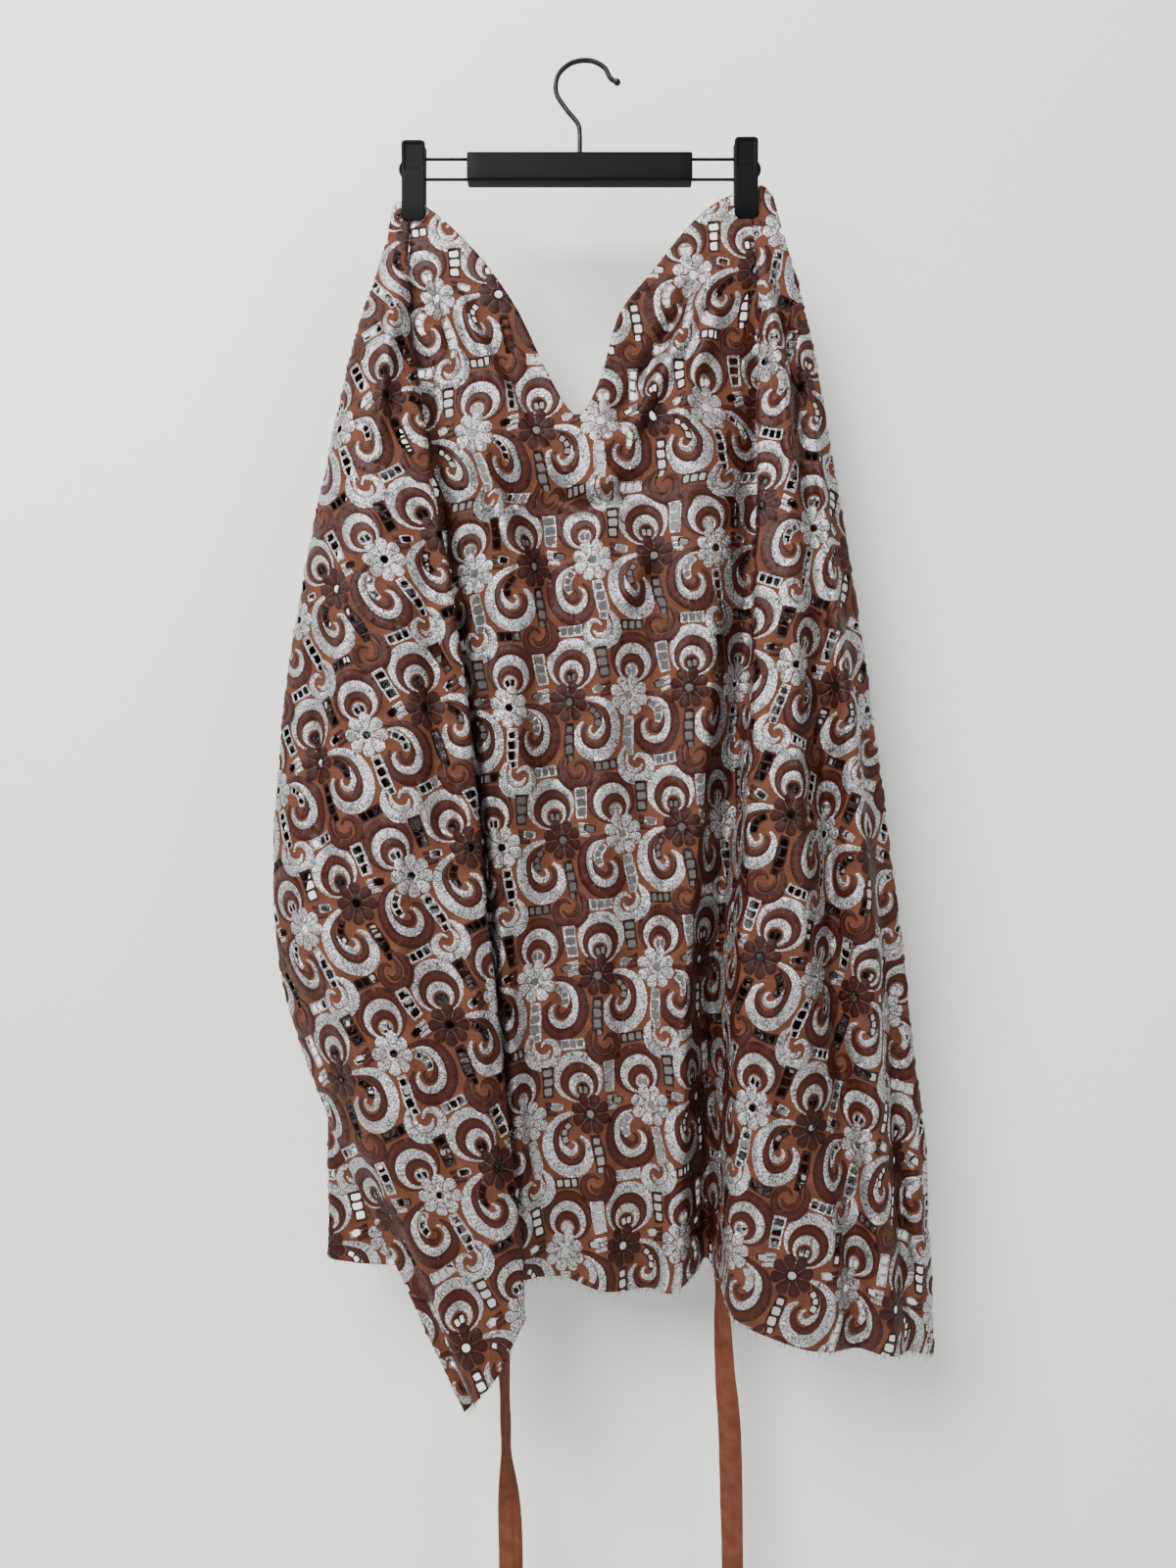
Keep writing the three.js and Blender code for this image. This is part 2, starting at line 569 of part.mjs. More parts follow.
// A jaw seen from the side: a thumb plate at the top, then a straight shank, then a lip on the cloth.
function jaw(clip, side, lip) {
  const away = CLIP.opening / 2;
  const outerTop = away + CLIP.jaw + CLIP.lean;
  const profile = new THREE.Shape();
  profile.moveTo(away + CLIP.lean, CLIP.top);
  profile.lineTo(outerTop, CLIP.top);
  profile.lineTo(away + CLIP.jaw, PIN.height);
  profile.lineTo(away + CLIP.jaw, CLIP.bottom + CLIP.grip);
  profile.quadraticCurveTo(away + CLIP.jaw, CLIP.bottom, lip + LIP.foot, CLIP.bottom);
  profile.lineTo(lip, CLIP.bottom + LIP.chamfer);
  profile.lineTo(lip, CLIP.bottom + CLIP.grip);
  profile.lineTo(away, CLIP.bottom + CLIP.grip + LIP.slope);
  profile.lineTo(away, PIN.height);
  const plate = new THREE.ExtrudeGeometry(profile, {
    depth: CLIP.width, bevelEnabled: false, curveSegments: 5,
  });
  // The profile's first axis turns to face the viewer, its second to point up.
  plate.translate(0, 0, -CLIP.width / 2);
  plate.applyMatrix4(new THREE.Matrix4().makeBasis(
    new THREE.Vector3(0, side, 0), new THREE.Vector3(0, 0, 1), new THREE.Vector3(side, 0, 0),
  ));
  return plate.translate(clip.x, 0, clip.raise);
}

function clipOf(side, clip) {
  add(hanger, `${side}_clip_front`, jaw(clip, -1, clip.front), CLIP_BLACK, 0.45);
  add(hanger, `${side}_clip_back`, jaw(clip, 1, clip.back), CLIP_BLACK, 0.45);
  const radius = CLIP.opening / 2 - SEAM_GAP;
  const pin = new THREE.CylinderGeometry(radius, radius, PIN.length, PIN.sides)
    .rotateZ(Math.PI / 2).translate(clip.x, 0, PIN.height + clip.raise);
  add(hanger, `${side}_clip_pin`, pin, STEEL, 0.4, 1);
}

hook();
bar();
for (const [name, run] of Object.entries(WIRE_RUN)) sideWire(name, run);
for (const [side, clip] of Object.entries(CLIPS)) clipOf(side, clip);
for (const [name, panel] of Object.entries(PANELS)) add(skirt, name, toGeometry(cutGaps(panel)), panel.colour);
for (const [name, form] of Object.entries(TIES)) tie(name, form);

const object = new THREE.Group();
object.add(hanger, skirt);
export default object;
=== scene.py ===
import math
import random

import bmesh
import bpy
import numpy as np
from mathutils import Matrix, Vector
from mathutils.geometry import delaunay_2d_cdt


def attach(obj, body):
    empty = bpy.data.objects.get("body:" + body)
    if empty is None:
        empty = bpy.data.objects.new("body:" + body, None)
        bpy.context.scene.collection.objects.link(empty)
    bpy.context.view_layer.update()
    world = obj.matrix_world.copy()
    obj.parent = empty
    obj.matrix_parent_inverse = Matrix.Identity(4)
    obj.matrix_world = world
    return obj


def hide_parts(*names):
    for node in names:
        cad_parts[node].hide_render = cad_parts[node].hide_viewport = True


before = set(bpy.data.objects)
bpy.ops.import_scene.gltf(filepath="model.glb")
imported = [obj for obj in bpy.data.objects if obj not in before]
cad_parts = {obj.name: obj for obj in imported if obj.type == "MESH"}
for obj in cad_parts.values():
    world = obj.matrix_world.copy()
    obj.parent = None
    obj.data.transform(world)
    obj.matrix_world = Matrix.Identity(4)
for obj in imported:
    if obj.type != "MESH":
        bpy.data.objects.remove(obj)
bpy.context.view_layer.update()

# Camera and room. The skirt hangs against a pale wall in soft daylight from the upper left.
# The camera stands level, straight in front, a little above the middle of the skirt.
CAMERA_PLACE = (-0.0018, -1.1, -0.662)
SENSOR_HEIGHT = 24
HALF_VIEW_HEIGHT = 0.72
WALL_Y = 0.112
WALL_TOP = 2.2
FLOOR_Z = -2.05

scene = bpy.context.scene
eye = bpy.data.cameras.new("eye")
eye.sensor_fit = "VERTICAL"
eye.sensor_height = SENSOR_HEIGHT
eye.lens = SENSOR_HEIGHT / 2 * -CAMERA_PLACE[1] / HALF_VIEW_HEIGHT
eye.clip_start = 0.02
camera = bpy.data.objects.new("camera", eye)
camera.location = CAMERA_PLACE
camera.rotation_euler = (math.radians(90), 0, 0)
scene.collection.objects.link(camera)
scene.camera = camera


def linear(red, green, blue):
    def one(value):
        value /= 255
        return value / 12.92 if value <= 0.04045 else ((value + 0.055) / 1.055) ** 2.4

    return (one(red), one(green), one(blue), 1)


def material(name):
    made = bpy.data.materials.new(name)
    made.use_nodes = True
    return made, made.node_tree.nodes, made.node_tree.links, made.node_tree.nodes["Principled BSDF"]


def put(nodes, kind, sockets=None, **settings):
    """Adds a shader node with its settings and the values of its sockets."""
    made = nodes.new("ShaderNode" + kind)
    for name, value in settings.items():
        setattr(made, name, value)
    for name, value in (sockets or {}).items():
        made.inputs[name].default_value = value
    return made


def ramp(nodes, low, dark, high, light):
    made = put(nodes, "ValToRGB")
    for stop, at, colour in zip(made.color_ramp.elements, (low, high), (dark, light)):
        stop.position = at
        stop.color = colour
    return made


def join(links, *pairs):
    """Links sockets, each given as from node, output, to node, input."""
    for source, out, target, to in pairs:
        links.new(source.outputs[out], target.inputs[to])


def grid_faces(rows, columns, closed=False):
    """Faces between rows of points. A closed grid also joins each row's last point to its first."""
    faces = []
    for r in range(rows - 1):
        for c in range(columns if closed else columns - 1):
            here, beside = r * columns + c, r * columns + (c + 1) % columns
            faces.append((here, beside, beside + columns, here + columns))
    return faces


def end_faces(rows, columns):
    return [tuple(range(columns))[::-1], tuple(range((rows - 1) * columns, rows * columns))]


def mesh_piece(name, points, faces, materials):
    mesh = bpy.data.meshes.new(name)
    mesh.from_pydata([tuple(point) for point in points], [], [tuple(face) for face in faces])
    for each in materials:
        mesh.materials.append(each)
    mesh.polygons.foreach_set("use_smooth", [True] * len(mesh.polygons))
    mesh.update()
    made = bpy.data.objects.new(name, mesh)
    scene.collection.objects.link(made)
    return made


def room_paint():
    made, nodes, links, surface = material("wall_paint")
    place = put(nodes, "TexCoord")
    cloud = put(nodes, "TexNoise", {"Scale": 1.3, "Detail": 3})
    tint = ramp(nodes, 0, linear(236, 237, 234), 1, linear(244, 245, 242))
    grain = put(nodes, "TexNoise", {"Scale": 260})
    bump = put(nodes, "Bump", {"Strength": 0.08, "Distance": 0.001})
    # The wall shows from its painted side alone, so that the skirt's back can be seen.
    side = put(nodes, "NewGeometry")
    front = put(nodes, "Math", {0: 1}, operation="SUBTRACT")
    join(
        links, (place, "Object", cloud, "Vector"), (place, "Object", grain, "Vector"),
        (cloud, "Fac", tint, "Fac"), (tint, "Color", surface, "Base Color"), (grain, "Fac", bump, "Height"),
        (bump, "Normal", surface, "Normal"), (side, "Backfacing", front, 1), (front, 0, surface, "Alpha"),
    )
    surface.inputs["Roughness"].default_value = 0.9
    return made


def room():
    across, cove, turns = 4.5, 0.5, 10
    profile = [(-across, FLOOR_Z), (WALL_Y - cove, FLOOR_Z)]
    for i in range(1, turns + 1):
        angle = math.pi / 2 * i / turns
        profile.append((WALL_Y - cove + cove * math.sin(angle), FLOOR_Z + cove - cove * math.cos(angle)))
    profile.append((WALL_Y, WALL_TOP))
    points = [(side * across, y, z) for side in (1, -1) for y, z in profile]
    mesh_piece("room", points, grid_faces(2, len(profile)), [room_paint()])


def lamp(name, place, target, size, watts, colour):
    light = bpy.data.lights.new(name, "AREA")
    light.shape = "RECTANGLE"
    light.size, light.size_y = size
    light.energy = watts
    light.color = colour
    made = bpy.data.objects.new(name, light)
    made.location = place
    made.rotation_euler = (Vector(target) - Vector(place)).to_track_quat("-Z", "Y").to_euler()
    scene.collection.objects.link(made)


room()
lamp("window", (-1.4, -2.3, 1.3), (-0.35, 0, 0.0), (1.9, 1.9), 246, (1, 0.99, 0.98))
lamp("room_light", (2.0, -2.2, 0.2), (0.1, 0, -0.6), (1.6, 1.6), 34, (1, 0.98, 0.94))
sky = bpy.data.worlds.new("room_air")
sky.use_nodes = True
sky.node_tree.nodes["Background"].inputs["Color"].default_value = (0.9, 0.94, 1, 1)
sky.node_tree.nodes["Background"].inputs["Strength"].default_value = 0.2
scene.world = sky

# Hook. A bent steel wire with a small ball at its tip, standing in the middle of the bar.
# It is plated dark, and the plating is worn a little where it rubs on the rail.
MM = 0.001
HOOK_WIRE = 4.5
HOOK_TIP = 3.2
HOOK_POINTS = [
    (-9.4, -84.7), (-9.4, -66), (-11, -56), (-22, -42), (-31, -27), (-29, -11), (-17, 0),
    (0, 2.25), (13, -4), (19, -14), (25, -17.5),
]


def through(places, values, at):
    """A smooth value through a table, with the slope at each entry taken from its neighbours."""
    places = np.asarray(places, float)
    values = np.asarray(values, float)
    at = np.asarray(at, float)
    down = -1 if places[-1] < places[0] else 1
    i = np.clip(np.searchsorted(places * down, at * down, side="left") - 1, 0, len(places) - 2)
    before = np.maximum(0, np.arange(len(places)) - 1)
    after = np.minimum(len(places) - 1, np.arange(len(places)) + 1)
    wide = (places[after] - places[before]).reshape((-1,) + (1,) * (values.ndim - 1))
    slope = (values[after] - values[before]) / wide
    span = places[i + 1] - places[i]
    t = np.clip((at - places[i]) / span, 0, 1)
    if values.ndim > 1:
        t, span = t[..., None], span[..., None]
    t2, t3 = t * t, t * t * t
    return (
        (2 * t3 - 3 * t2 + 1) * values[i] + (t3 - 2 * t2 + t) * span * slope[i]
        + (3 * t2 - 2 * t3) * values[i + 1] + (t3 - t2) * span * slope[i + 1]
    )


def evenly(points, steps):
    """Points at even lengths along a smooth line through the given ones."""
    points = np.asarray(points, float)
    knots = np.concatenate([[0], np.cumsum(np.sqrt(np.linalg.norm(np.diff(points, axis=0), axis=1)))])
    fine = through(knots, points, np.linspace(0, knots[-1], 1200))
    run = np.concatenate([[0], np.cumsum(np.linalg.norm(np.diff(fine, axis=0), axis=1))])
    wanted = np.linspace(0, run[-1], steps)
    return np.stack([np.interp(wanted, run, fine[:, k]) for k in range(points.shape[1])], axis=1)


def round_wire(name, path, radii, metal, sides=16):
    """A round wire along a path in the plane of the hanger, closed at both ends."""
    path = np.asarray(path, float)
    ahead = np.gradient(path, axis=0)
    ahead /= np.linalg.norm(ahead, axis=1)[:, None]
    points = []
    for (x, z), (dx, dz), radius in zip(path, ahead, radii):
        for k in range(sides):
            angle = 2 * math.pi * k / sides
            side = radius * math.cos(angle)
            points.append(((x - dz * side) * MM, radius * math.sin(angle) * MM, (z + dx * side) * MM))
    faces = grid_faces(len(path), sides, True) + end_faces(len(path), sides)
    return mesh_piece(name, points, faces, [metal])


def worn_steel(name, plating, bare, roughness, scale):
    made, nodes, links, surface = material(name)
    place = put(nodes, "TexCoord")
    rub = put(nodes, "TexNoise", {"Scale": scale, "Detail": 4})
    mask = put(nodes, "MapRange", {"From Min": 0.56, "From Max": 0.74, "To Max": 0.5})
    colour = put(nodes, "Mix", {6: plating, 7: bare}, data_type="RGBA")
    gloss = put(nodes, "MapRange", {"To Min": roughness - 0.07, "To Max": roughness + 0.1})
    join(
        links, (place, "Object", rub, "Vector"), (rub, "Fac", mask, "Value"), (rub, "Fac", gloss, "Value"),
        (mask, "Result", colour, 0), (colour, 2, surface, "Base Color"),
        (gloss, "Result", surface, "Roughness"),
    )
    surface.inputs["Metallic"].default_value = 1
    return made


def hook():
    path = evenly(HOOK_POINTS, 150)
    along = np.concatenate([[0], np.cumsum(np.linalg.norm(np.diff(path, axis=0), axis=1))])
    left = along[-1] - along
    ball = np.sqrt(np.clip(HOOK_TIP**2 - left**2, 0, None))
    radii = np.maximum(HOOK_WIRE / 2 * (left > HOOK_TIP * 0.4), ball)
    end = path[-1] + (path[-1] - path[-2]) / np.linalg.norm(path[-1] - path[-2])
    steps = np.linspace(0, math.pi / 2, 8)[1:]
    cap = [path[-1] + (end - path[-1]) * HOOK_TIP * math.sin(step) for step in steps]
    path = np.vstack([path, cap])
    radii = np.concatenate([radii, [max(HOOK_TIP * math.cos(step), 0.05) for step in steps]])
    plating = worn_steel("hook_plating", linear(40, 42, 44), linear(84, 84, 86), 0.42, 320)
    made = round_wire("hook", path, radii, plating)
    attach(made, "root")
    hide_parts("hanger_hook")


hook()

# Bar. A moulded black plastic rail with rounded edges and a socket at each end for the wires.
# Its face is satin, with the fine grain of the mould and light scuffs along the edges.
BAR = {"left": -112.5, "right": 93.6, "top": -85, "bottom": -111, "depth": 17, "corner": 2.2}


def moulded_plastic(name, colour, scuff, roughness, grain_scale):
    made, nodes, links, surface = material(name)
    place = put(nodes, "TexCoord")
    grain = put(nodes, "TexNoise", {"Scale": grain_scale, "Detail": 5})
    smear = put(nodes, "TexNoise", {"Scale": 45, "Detail": 4})
    tint = put(nodes, "Mix", {6: colour, 7: scuff}, data_type="RGBA")
    share = put(nodes, "MapRange", {"From Min": 0.45, "From Max": 0.8})
    gloss = put(nodes, "MapRange", {"To Min": roughness - 0.08, "To Max": roughness + 0.12})
    bump = put(nodes, "Bump", {"Strength": 0.18, "Distance": 0.0004})
    join(
        links, (place, "Object", grain, "Vector"), (place, "Object", smear, "Vector"),
        (smear, "Fac", share, "Value"), (share, "Result", tint, 0), (tint, 2, surface, "Base Color"),
        (smear, "Fac", gloss, "Value"), (gloss, "Result", surface, "Roughness"),
        (grain, "Fac", bump, "Height"), (bump, "Normal", surface, "Normal"),
    )
    surface.inputs["Specular IOR Level"].default_value = 0.1
    return made


def rounded_loop(wide, high, corner, steps=5):
    """The outline of a rounded rectangle about the origin, counter-clockwise."""
    loop = []
    for turn, (sx, sy) in enumerate([(1, 1), (-1, 1), (-1, -1), (1, -1)]):
        for angle in math.pi / 2 * (turn + np.arange(steps + 1) / steps):
            side, up = sx * (wide / 2 - corner), sy * (high / 2 - corner)
            loop.append((side + corner * math.cos(angle), up + corner * math.sin(angle)))
    return loop


def bar():
    high, deep = BAR["top"] - BAR["bottom"], BAR["depth"]
    middle = (BAR["top"] + BAR["bottom"]) / 2
    # Each entry is a place along the bar from an end, and how far the section is drawn in there.
    ends = [(0, 1.2), (0.25, 0.55), (0.7, 0.15), (1.3, 0)]
    stations = [(BAR["left"] + at, inset) for at, inset in ends]
    stations += [(x, 0) for x in np.linspace(BAR["left"] + 12, BAR["right"] - 12, 12)]
    stations += [(BAR["right"] - at, inset) for at, inset in reversed(ends)]
    points = [
        (x * MM, y * MM, (middle + z) * MM)
        for x, inset in stations
        for y, z in rounded_loop(deep - 2 * inset, high - 2 * inset, BAR["corner"])
    ]
    count = len(points) // len(stations)
    faces = grid_faces(len(stations), count, True) + end_faces(len(stations), count)
    plastic = moulded_plastic("bar_plastic", linear(3, 4, 5), linear(10, 11, 12), 0.52, 900)
    made = mesh_piece("bar", points, faces, [plastic])
    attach(made, "root")
    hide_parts("hanger_bar")


bar()

# Wires. On each side two legs of one bent black wire hold the clip and slide in the bar's sockets.
# The wire is lacquered, and the lacquer is scraped along its length by the sliding clip.
WIRE = 2.7
WIRE_LEGS = {"upper": -88.4, "lower": -107}
WIRE_RUNS = {"left_wire": (-112.8, -165, -1), "right_wire": (93.9, 146.5, 1)}
lacquer = worn_steel("wire_lacquer", linear(22, 23, 24), linear(50, 50, 52), 0.5, 500)

for name, (start, turn, way) in WIRE_RUNS.items():
    radius = (WIRE_LEGS["upper"] - WIRE_LEGS["lower"]) / 2
    middle = (WIRE_LEGS["upper"] + WIRE_LEGS["lower"]) / 2
    legs = np.linspace(start, turn, 12)
    path = [(x, WIRE_LEGS["upper"]) for x in legs]
    for i in range(1, 24):
        angle = math.pi / 2 - math.pi * i / 24
        path.append((turn + way * radius * math.cos(angle), middle + radius * math.sin(angle)))
    path += [(x, WIRE_LEGS["lower"]) for x in legs[::-1]]
    made = round_wire(f"{name}_drawn", path, [WIRE / 2] * len(path), lacquer)
    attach(made, "root")
    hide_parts(name)

# Clips. Two moulded black jaws on each side, with a recessed thumb pad at the top and a rounded lip.
# They turn on a steel pin that lies between the two wires, and bite the folded waist of the skirt.
CLIP = {"width": 21.6, "top": -73, "bottom": -144.5, "jaw": 4.2, "opening": 3.3, "grip": 21, "lean": 1.6}
CLIPS = {"left": (-161.5, -1, 2.4, 0.9), "right": (143, 2, 0.9, 2.4)}
PIN_HEIGHT = -97.6


def jaw(name, node, x, raised, side, lip, plastic):
    """A lofted jaw: level sections from the top of the thumb pad down to the lip."""
    away = CLIP["opening"] / 2
    across = np.linspace(-1, 1, 41)
    heights = np.concatenate([
        CLIP["top"] - np.array([0, 0.25, 0.8, 1.6, 2.6, 3.4]),
        np.linspace(CLIP["top"] - 4.4, CLIP["bottom"] + 7, 52),
        CLIP["bottom"] + np.array([5.6, 4.2, 3, 2, 1.1, 0.5, 0.15, 0]),
    ])
    sections = []
    for z in heights:
        low, high = z - CLIP["bottom"], CLIP["top"] - z
        half = CLIP["width"] / 2
        corner = 3.2
        if high < corner:
            half -= corner - math.sqrt(max(0, corner**2 - (corner - high) ** 2))
        foot = 5.2
        if low < foot:
            half -= foot - math.sqrt(max(0, foot**2 - (foot - low) ** 2))
        leaning = CLIP["lean"] * np.clip((z - PIN_HEIGHT) / (CLIP["top"] - PIN_HEIGHT), 0, 1)
        inner = away + leaning if low > CLIP["grip"] + 4 else None
        if inner is None:
            inner = lip + (away - lip) * np.clip((low - CLIP["grip"]) / 4, 0, 1)
        outer = away + CLIP["jaw"] + leaning
        outer -= (outer - lip - 1.2) * (1 - min(1, low / CLIP["grip"])) ** 2.2
        if high < 1.6:
            inner, outer = inner + (1.6 - high) * 0.3, outer - (1.6 - high) * 0.5
        front = []
        for s in across:
            edge = max(0, abs(s) - 0.9) / 0.1
            depth = outer - 0.9 * edge**2
            pad = min(1, max(0, (0.74 - abs(s)) / 0.05))
            pad *= min(1, max(0, (high - 2.8) / 0.6)) * min(1, max(0, (27 - high) / 5))
            depth -= 1.2 * pad
            front.append((s * half, max(depth, inner + 0.4)))
        back = [(s * half * 0.985, inner) for s in across[::-1]]
        sections.append([(px, py, z) for px, py in front + back])
    count = len(sections[0])
    points = [((x + px) * MM, side * py * MM, (z + raised) * MM) for one in sections for px, py, z in one]
    faces = grid_faces(len(sections), count, True)
    half_count = count // 2
    for start in (0, (len(sections) - 1) * count):
        for k in range(half_count - 1):
            faces.append((start + k, start + k + 1, start + count - 2 - k, start + count - 1 - k))
    made = mesh_piece(name, points, faces, [plastic])
    tidy_normals(made)
    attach(made, "root")
    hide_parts(node)


def tidy_normals(piece):
    form = bmesh.new()
    form.from_mesh(piece.data)
    bmesh.ops.recalc_face_normals(form, faces=form.faces)
    form.to_mesh(piece.data)
    form.free()


clip_plastic = moulded_plastic("clip_plastic", linear(3, 4, 5), linear(8, 10, 11), 0.55, 700)
pin_steel = worn_steel("pin_steel", linear(150, 150, 152), linear(185, 185, 186), 0.3, 900)
for side, (x, raised, front_lip, back_lip) in CLIPS.items():
    jaw(f"{side}_front_jaw", f"{side}_clip_front", x, raised, -1, front_lip, clip_plastic)
    jaw(f"{side}_back_jaw", f"{side}_clip_back", x, raised, 1, back_lip, clip_plastic)
    pin = bpy.data.objects[f"{side}_clip_pin"]
    for each in pin.material_slots:
        each.material = pin_steel

# Cloth. One run of folded cotton cloth makes the panels: its folds hang from the two clips and
# open on the way down. The tables give each fold line's place, and every panel is a stretch of it.
HEIGHTS = [-120, -180, -240, -330, -450, -580, -710, -840, -980, -1110, -1240]
OPENING_HEIGHTS = [-120, -136, -149, -180, -240, -330, -450, -580, -710, -840, -980, -1110, -1240]
OPENING = [0, 0, 0, 0.12, 0.3, 0.55, 0.8, 0.95, 1, 1.05, 1.12, 1.2, 1.25]
CLOTH_TOP = -126
# Each row: name, top, hem, depth (or depths), and the fold's x at each of the heights.
FLAP = (-1.5, [
    ("clean edge", -137, -1218, [0, 12, 16, 16, 16, 16, 16, 13, -14, -24, -30],
     [-180, -186, -200, -214, -234, -248, -257, -269, -229.5, -165, -100]),
    ("wrap", -134, -1217.5, [0, 7, 9, 9, 9, 9, 8, 7, -16, -25, -31],
     [-179, -190.5, -209, -230, -254, -273, -284, -281, -228, -163.5, -99]),
    ("side", -132, -1216, [0, 0, 0, 0, 0, 0, 0, 0, -18, -26, -32],
     [-178, -192, -212, -233, -258, -278, -288, -283, -226, -162, -97.5]),
    ("shoulder", -129, -1210, -28, [-174, -186, -203, -220, -236, -247, -255, -250, -212, -150, -90]),
    ("crest", -127, -1199, -46, [-171, -180, -190, -196, -196, -198, -200, -202, -180, -132, -83]),
    ("slope", CLOTH_TOP, -1176, -44, [-168, -172, -174, -170, -158, -148, -142, -135, -118, -92, -66]),
    ("ridge", CLOTH_TOP, -1136, -36, [-165, -166, -163, -152, -131, -112, -100, -86, -72, -60, -50]),
    ("turn", CLOTH_TOP, -1130, -27, [-164, -166, -164.5, -154, -133, -115, -103, -89, -75, -63, -53]),
    ("tuck", CLOTH_TOP, -1122, -21, [-163, -168, -171, -164, -148, -131, -119, -105, -91, -78, -67]),
])
BODY = (0, [
    ("inner", -133, -1096, 18, [-175, -181, -194, -203, -221, -233, -239, -240, -231, -232, -233]),
    ("turn", -132, -1097, 9, [-174, -182.5, -196, -208, -228, -242, -249, -249, -242, -243, -244]),
    ("corner", -130, -1100, 2, [-172, -180, -193, -203, -222, -236, -243, -242, -234, -234, -234]),
    ("middle", -127, -1105, 2, [-168, -174, -182, -182, -182, -185, -188, -187, -184, -184, -184]),
    ("left seam", CLOTH_TOP, -1108, 4, [-163, -166, -168, -160, -145, -135, -130, -128, -126, -124, -122]),
    ("left strain", CLOTH_TOP, -1110, 6, [-158, -157, -152, -140, -122, -112, -107, -105, -103, -101, -100]),
    ("left clip", -133, -1112, -2, [-150, -144, -135, -116, -100, -92, -87, -85, -83, -82, -81]),
    ("left crest", -180, -1114, -8, [-99, -99, -98, -90, -78, -71, -67, -65, -63, -62, -61]),
    ("left trough", -227, -1116, 3, [-66, -66, -66, -62, -55, -50, -47, -45, -44, -43, -42]),
    ("left of the V", -286, -1118, 8, [-38, -38, -38, -37, -33, -29, -27, -26, -25, -24, -24]),
    ("bottom of the V", -323, -1122, 0, [-12, -12, -12, -12, -11, -9, -7, -7, -6, -6, -6]),
    ("right of the V", -296, -1125, -7, [6, 6, 6, 8, 10, 12, 13, 13, 13, 13, 13]),
    ("middle slope", -230, -1129, 3, [27, 27, 27, 32, 34, 35, 35, 34, 33, 33, 33]),
    ("right trough", -189, -1130, 10, [58, 58, 59, 62, 62, 61, 59, 57, 55, 54, 53]),
    ("right crest", -142, -1127, -5, [98, 99, 99, 98, 94, 90, 85, 80, 77, 75, 74]),
    ("right clip", -121, -1121, 12, [131, 132, 132, 130, 124, 118, 108, 100, 96, 94, 93]),
    ("valley", CLOTH_TOP, -1112, 32, [147, 150.5, 155, 156, 152, 143, 130, 118, 113, 110, 108]),
    ("right seam", CLOTH_TOP, -1120, 4, [148.5, 152, 156.5, 158, 155, 149, 138, 127, 121, 118, 117]),
    ("ridge", CLOTH_TOP, -1131, -30, [150, 153, 154, 152, 149, 145, 140, 131, 127, 124, 124]),
    ("brow", -118, -1140, -38, [152, 157, 159, 159, 157, 154, 150, 142, 139, 137, 138]),
    ("first crest", -113, -1158, -44, [155, 161, 168, 175, 180, 182, 184, 184, 188, 192, 196]),
    ("first trough", -112.5, -1167, -22, [158, 169, 180, 192, 203, 210, 216, 222, 230, 238, 243]),
    ("second crest", -114, -1168, -33, [161, 174, 187, 201, 215, 226, 236, 245, 256, 266, 272]),
    ("second trough", -117, -1176, -12, [164, 179, 194, 208, 226, 240, 254, 266, 278, 288, 292]),
    ("side", -121, -1184, 0, [167, 185, 201, 217, 238, 256, 275, 290, 305, 313, 315]),
    ("clean edge", -124, -1183, 8, [168, 184, 199, 214, 234, 252, 270, 286, 303, 311, 313]),
])
BEHIND_RIGHT = (1.5, [
    ("left edge", CLOTH_TOP, -1094, [37, 37, 37, 37, 37, 37, 36.5, 36, 35, 34.5, 34.5],
     [148, 147, 145, 142, 134, 126, 118, 112, 108, 106, 104]),
    ("behind the valley", CLOTH_TOP, -1096, [37, 37, 37, 37, 37, 37, 36.5, 36, 35, 34.5, 34.5],
     [151, 155, 159, 161, 158, 152, 144, 136, 131, 128, 127]),
    ("first swell", CLOTH_TOP, -1101, 18, [156, 166, 174, 182, 190, 194, 196, 198, 196, 196, 196]),
    ("hollow", CLOTH_TOP, -1102, 12, [160, 171, 184, 198, 210, 220, 228, 236, 236, 240, 244]),
    ("right edge", CLOTH_TOP, -1100, 16, [163, 178, 193, 208, 228, 243, 256, 262, 264, 268, 270]),
])
ROW_STEP = 5
PLACES_PER_FOLD = 20


def drape_grid(drape):
    """Points on the folded cloth: one row for each level cut, from the clips to below the hem."""
    layer, folds = drape
    rows = np.arange(HEIGHTS[0] + 2 * ROW_STEP, HEIGHTS[-1] - 1, -ROW_STEP, dtype=float)
    opening = np.maximum(0, through(OPENING_HEIGHTS, OPENING, rows))
    xs = np.stack([through(HEIGHTS, fold[4], rows) for fold in folds], axis=1)
    depths = np.stack([
        through(HEIGHTS, fold[3], rows) if isinstance(fold[3], list) else np.full(len(rows), fold[3], float)
        for fold in folds
    ], axis=1)
    ys = layer + depths * opening[:, None]
    places = np.arange(0, (len(folds) - 1) * PLACES_PER_FOLD + 1) / PLACES_PER_FOLD
    points = np.zeros((len(rows), len(places), 2))
    for r in range(len(rows)):
        cut = np.stack([xs[r], ys[r]], axis=1)
        knots = np.concatenate([[0], np.cumsum(np.sqrt(np.linalg.norm(np.diff(cut, axis=0), axis=1)))])
        whole = np.minimum(len(folds) - 2, places.astype(int))
        at = knots[whole] + (places - whole) * (knots[whole + 1] - knots[whole])
        points[r] = through(knots, cut, at)
    lengths = np.zeros(points.shape[:2])
    lengths[:, 1:] = np.cumsum(np.linalg.norm(np.diff(points, axis=1), axis=2), axis=1)
    return {"rows": rows, "places": places, "points": points, "lengths": lengths, "folds": folds}


def fold_number(grid, name):
    return [fold[0] for fold in grid["folds"]].index(name)


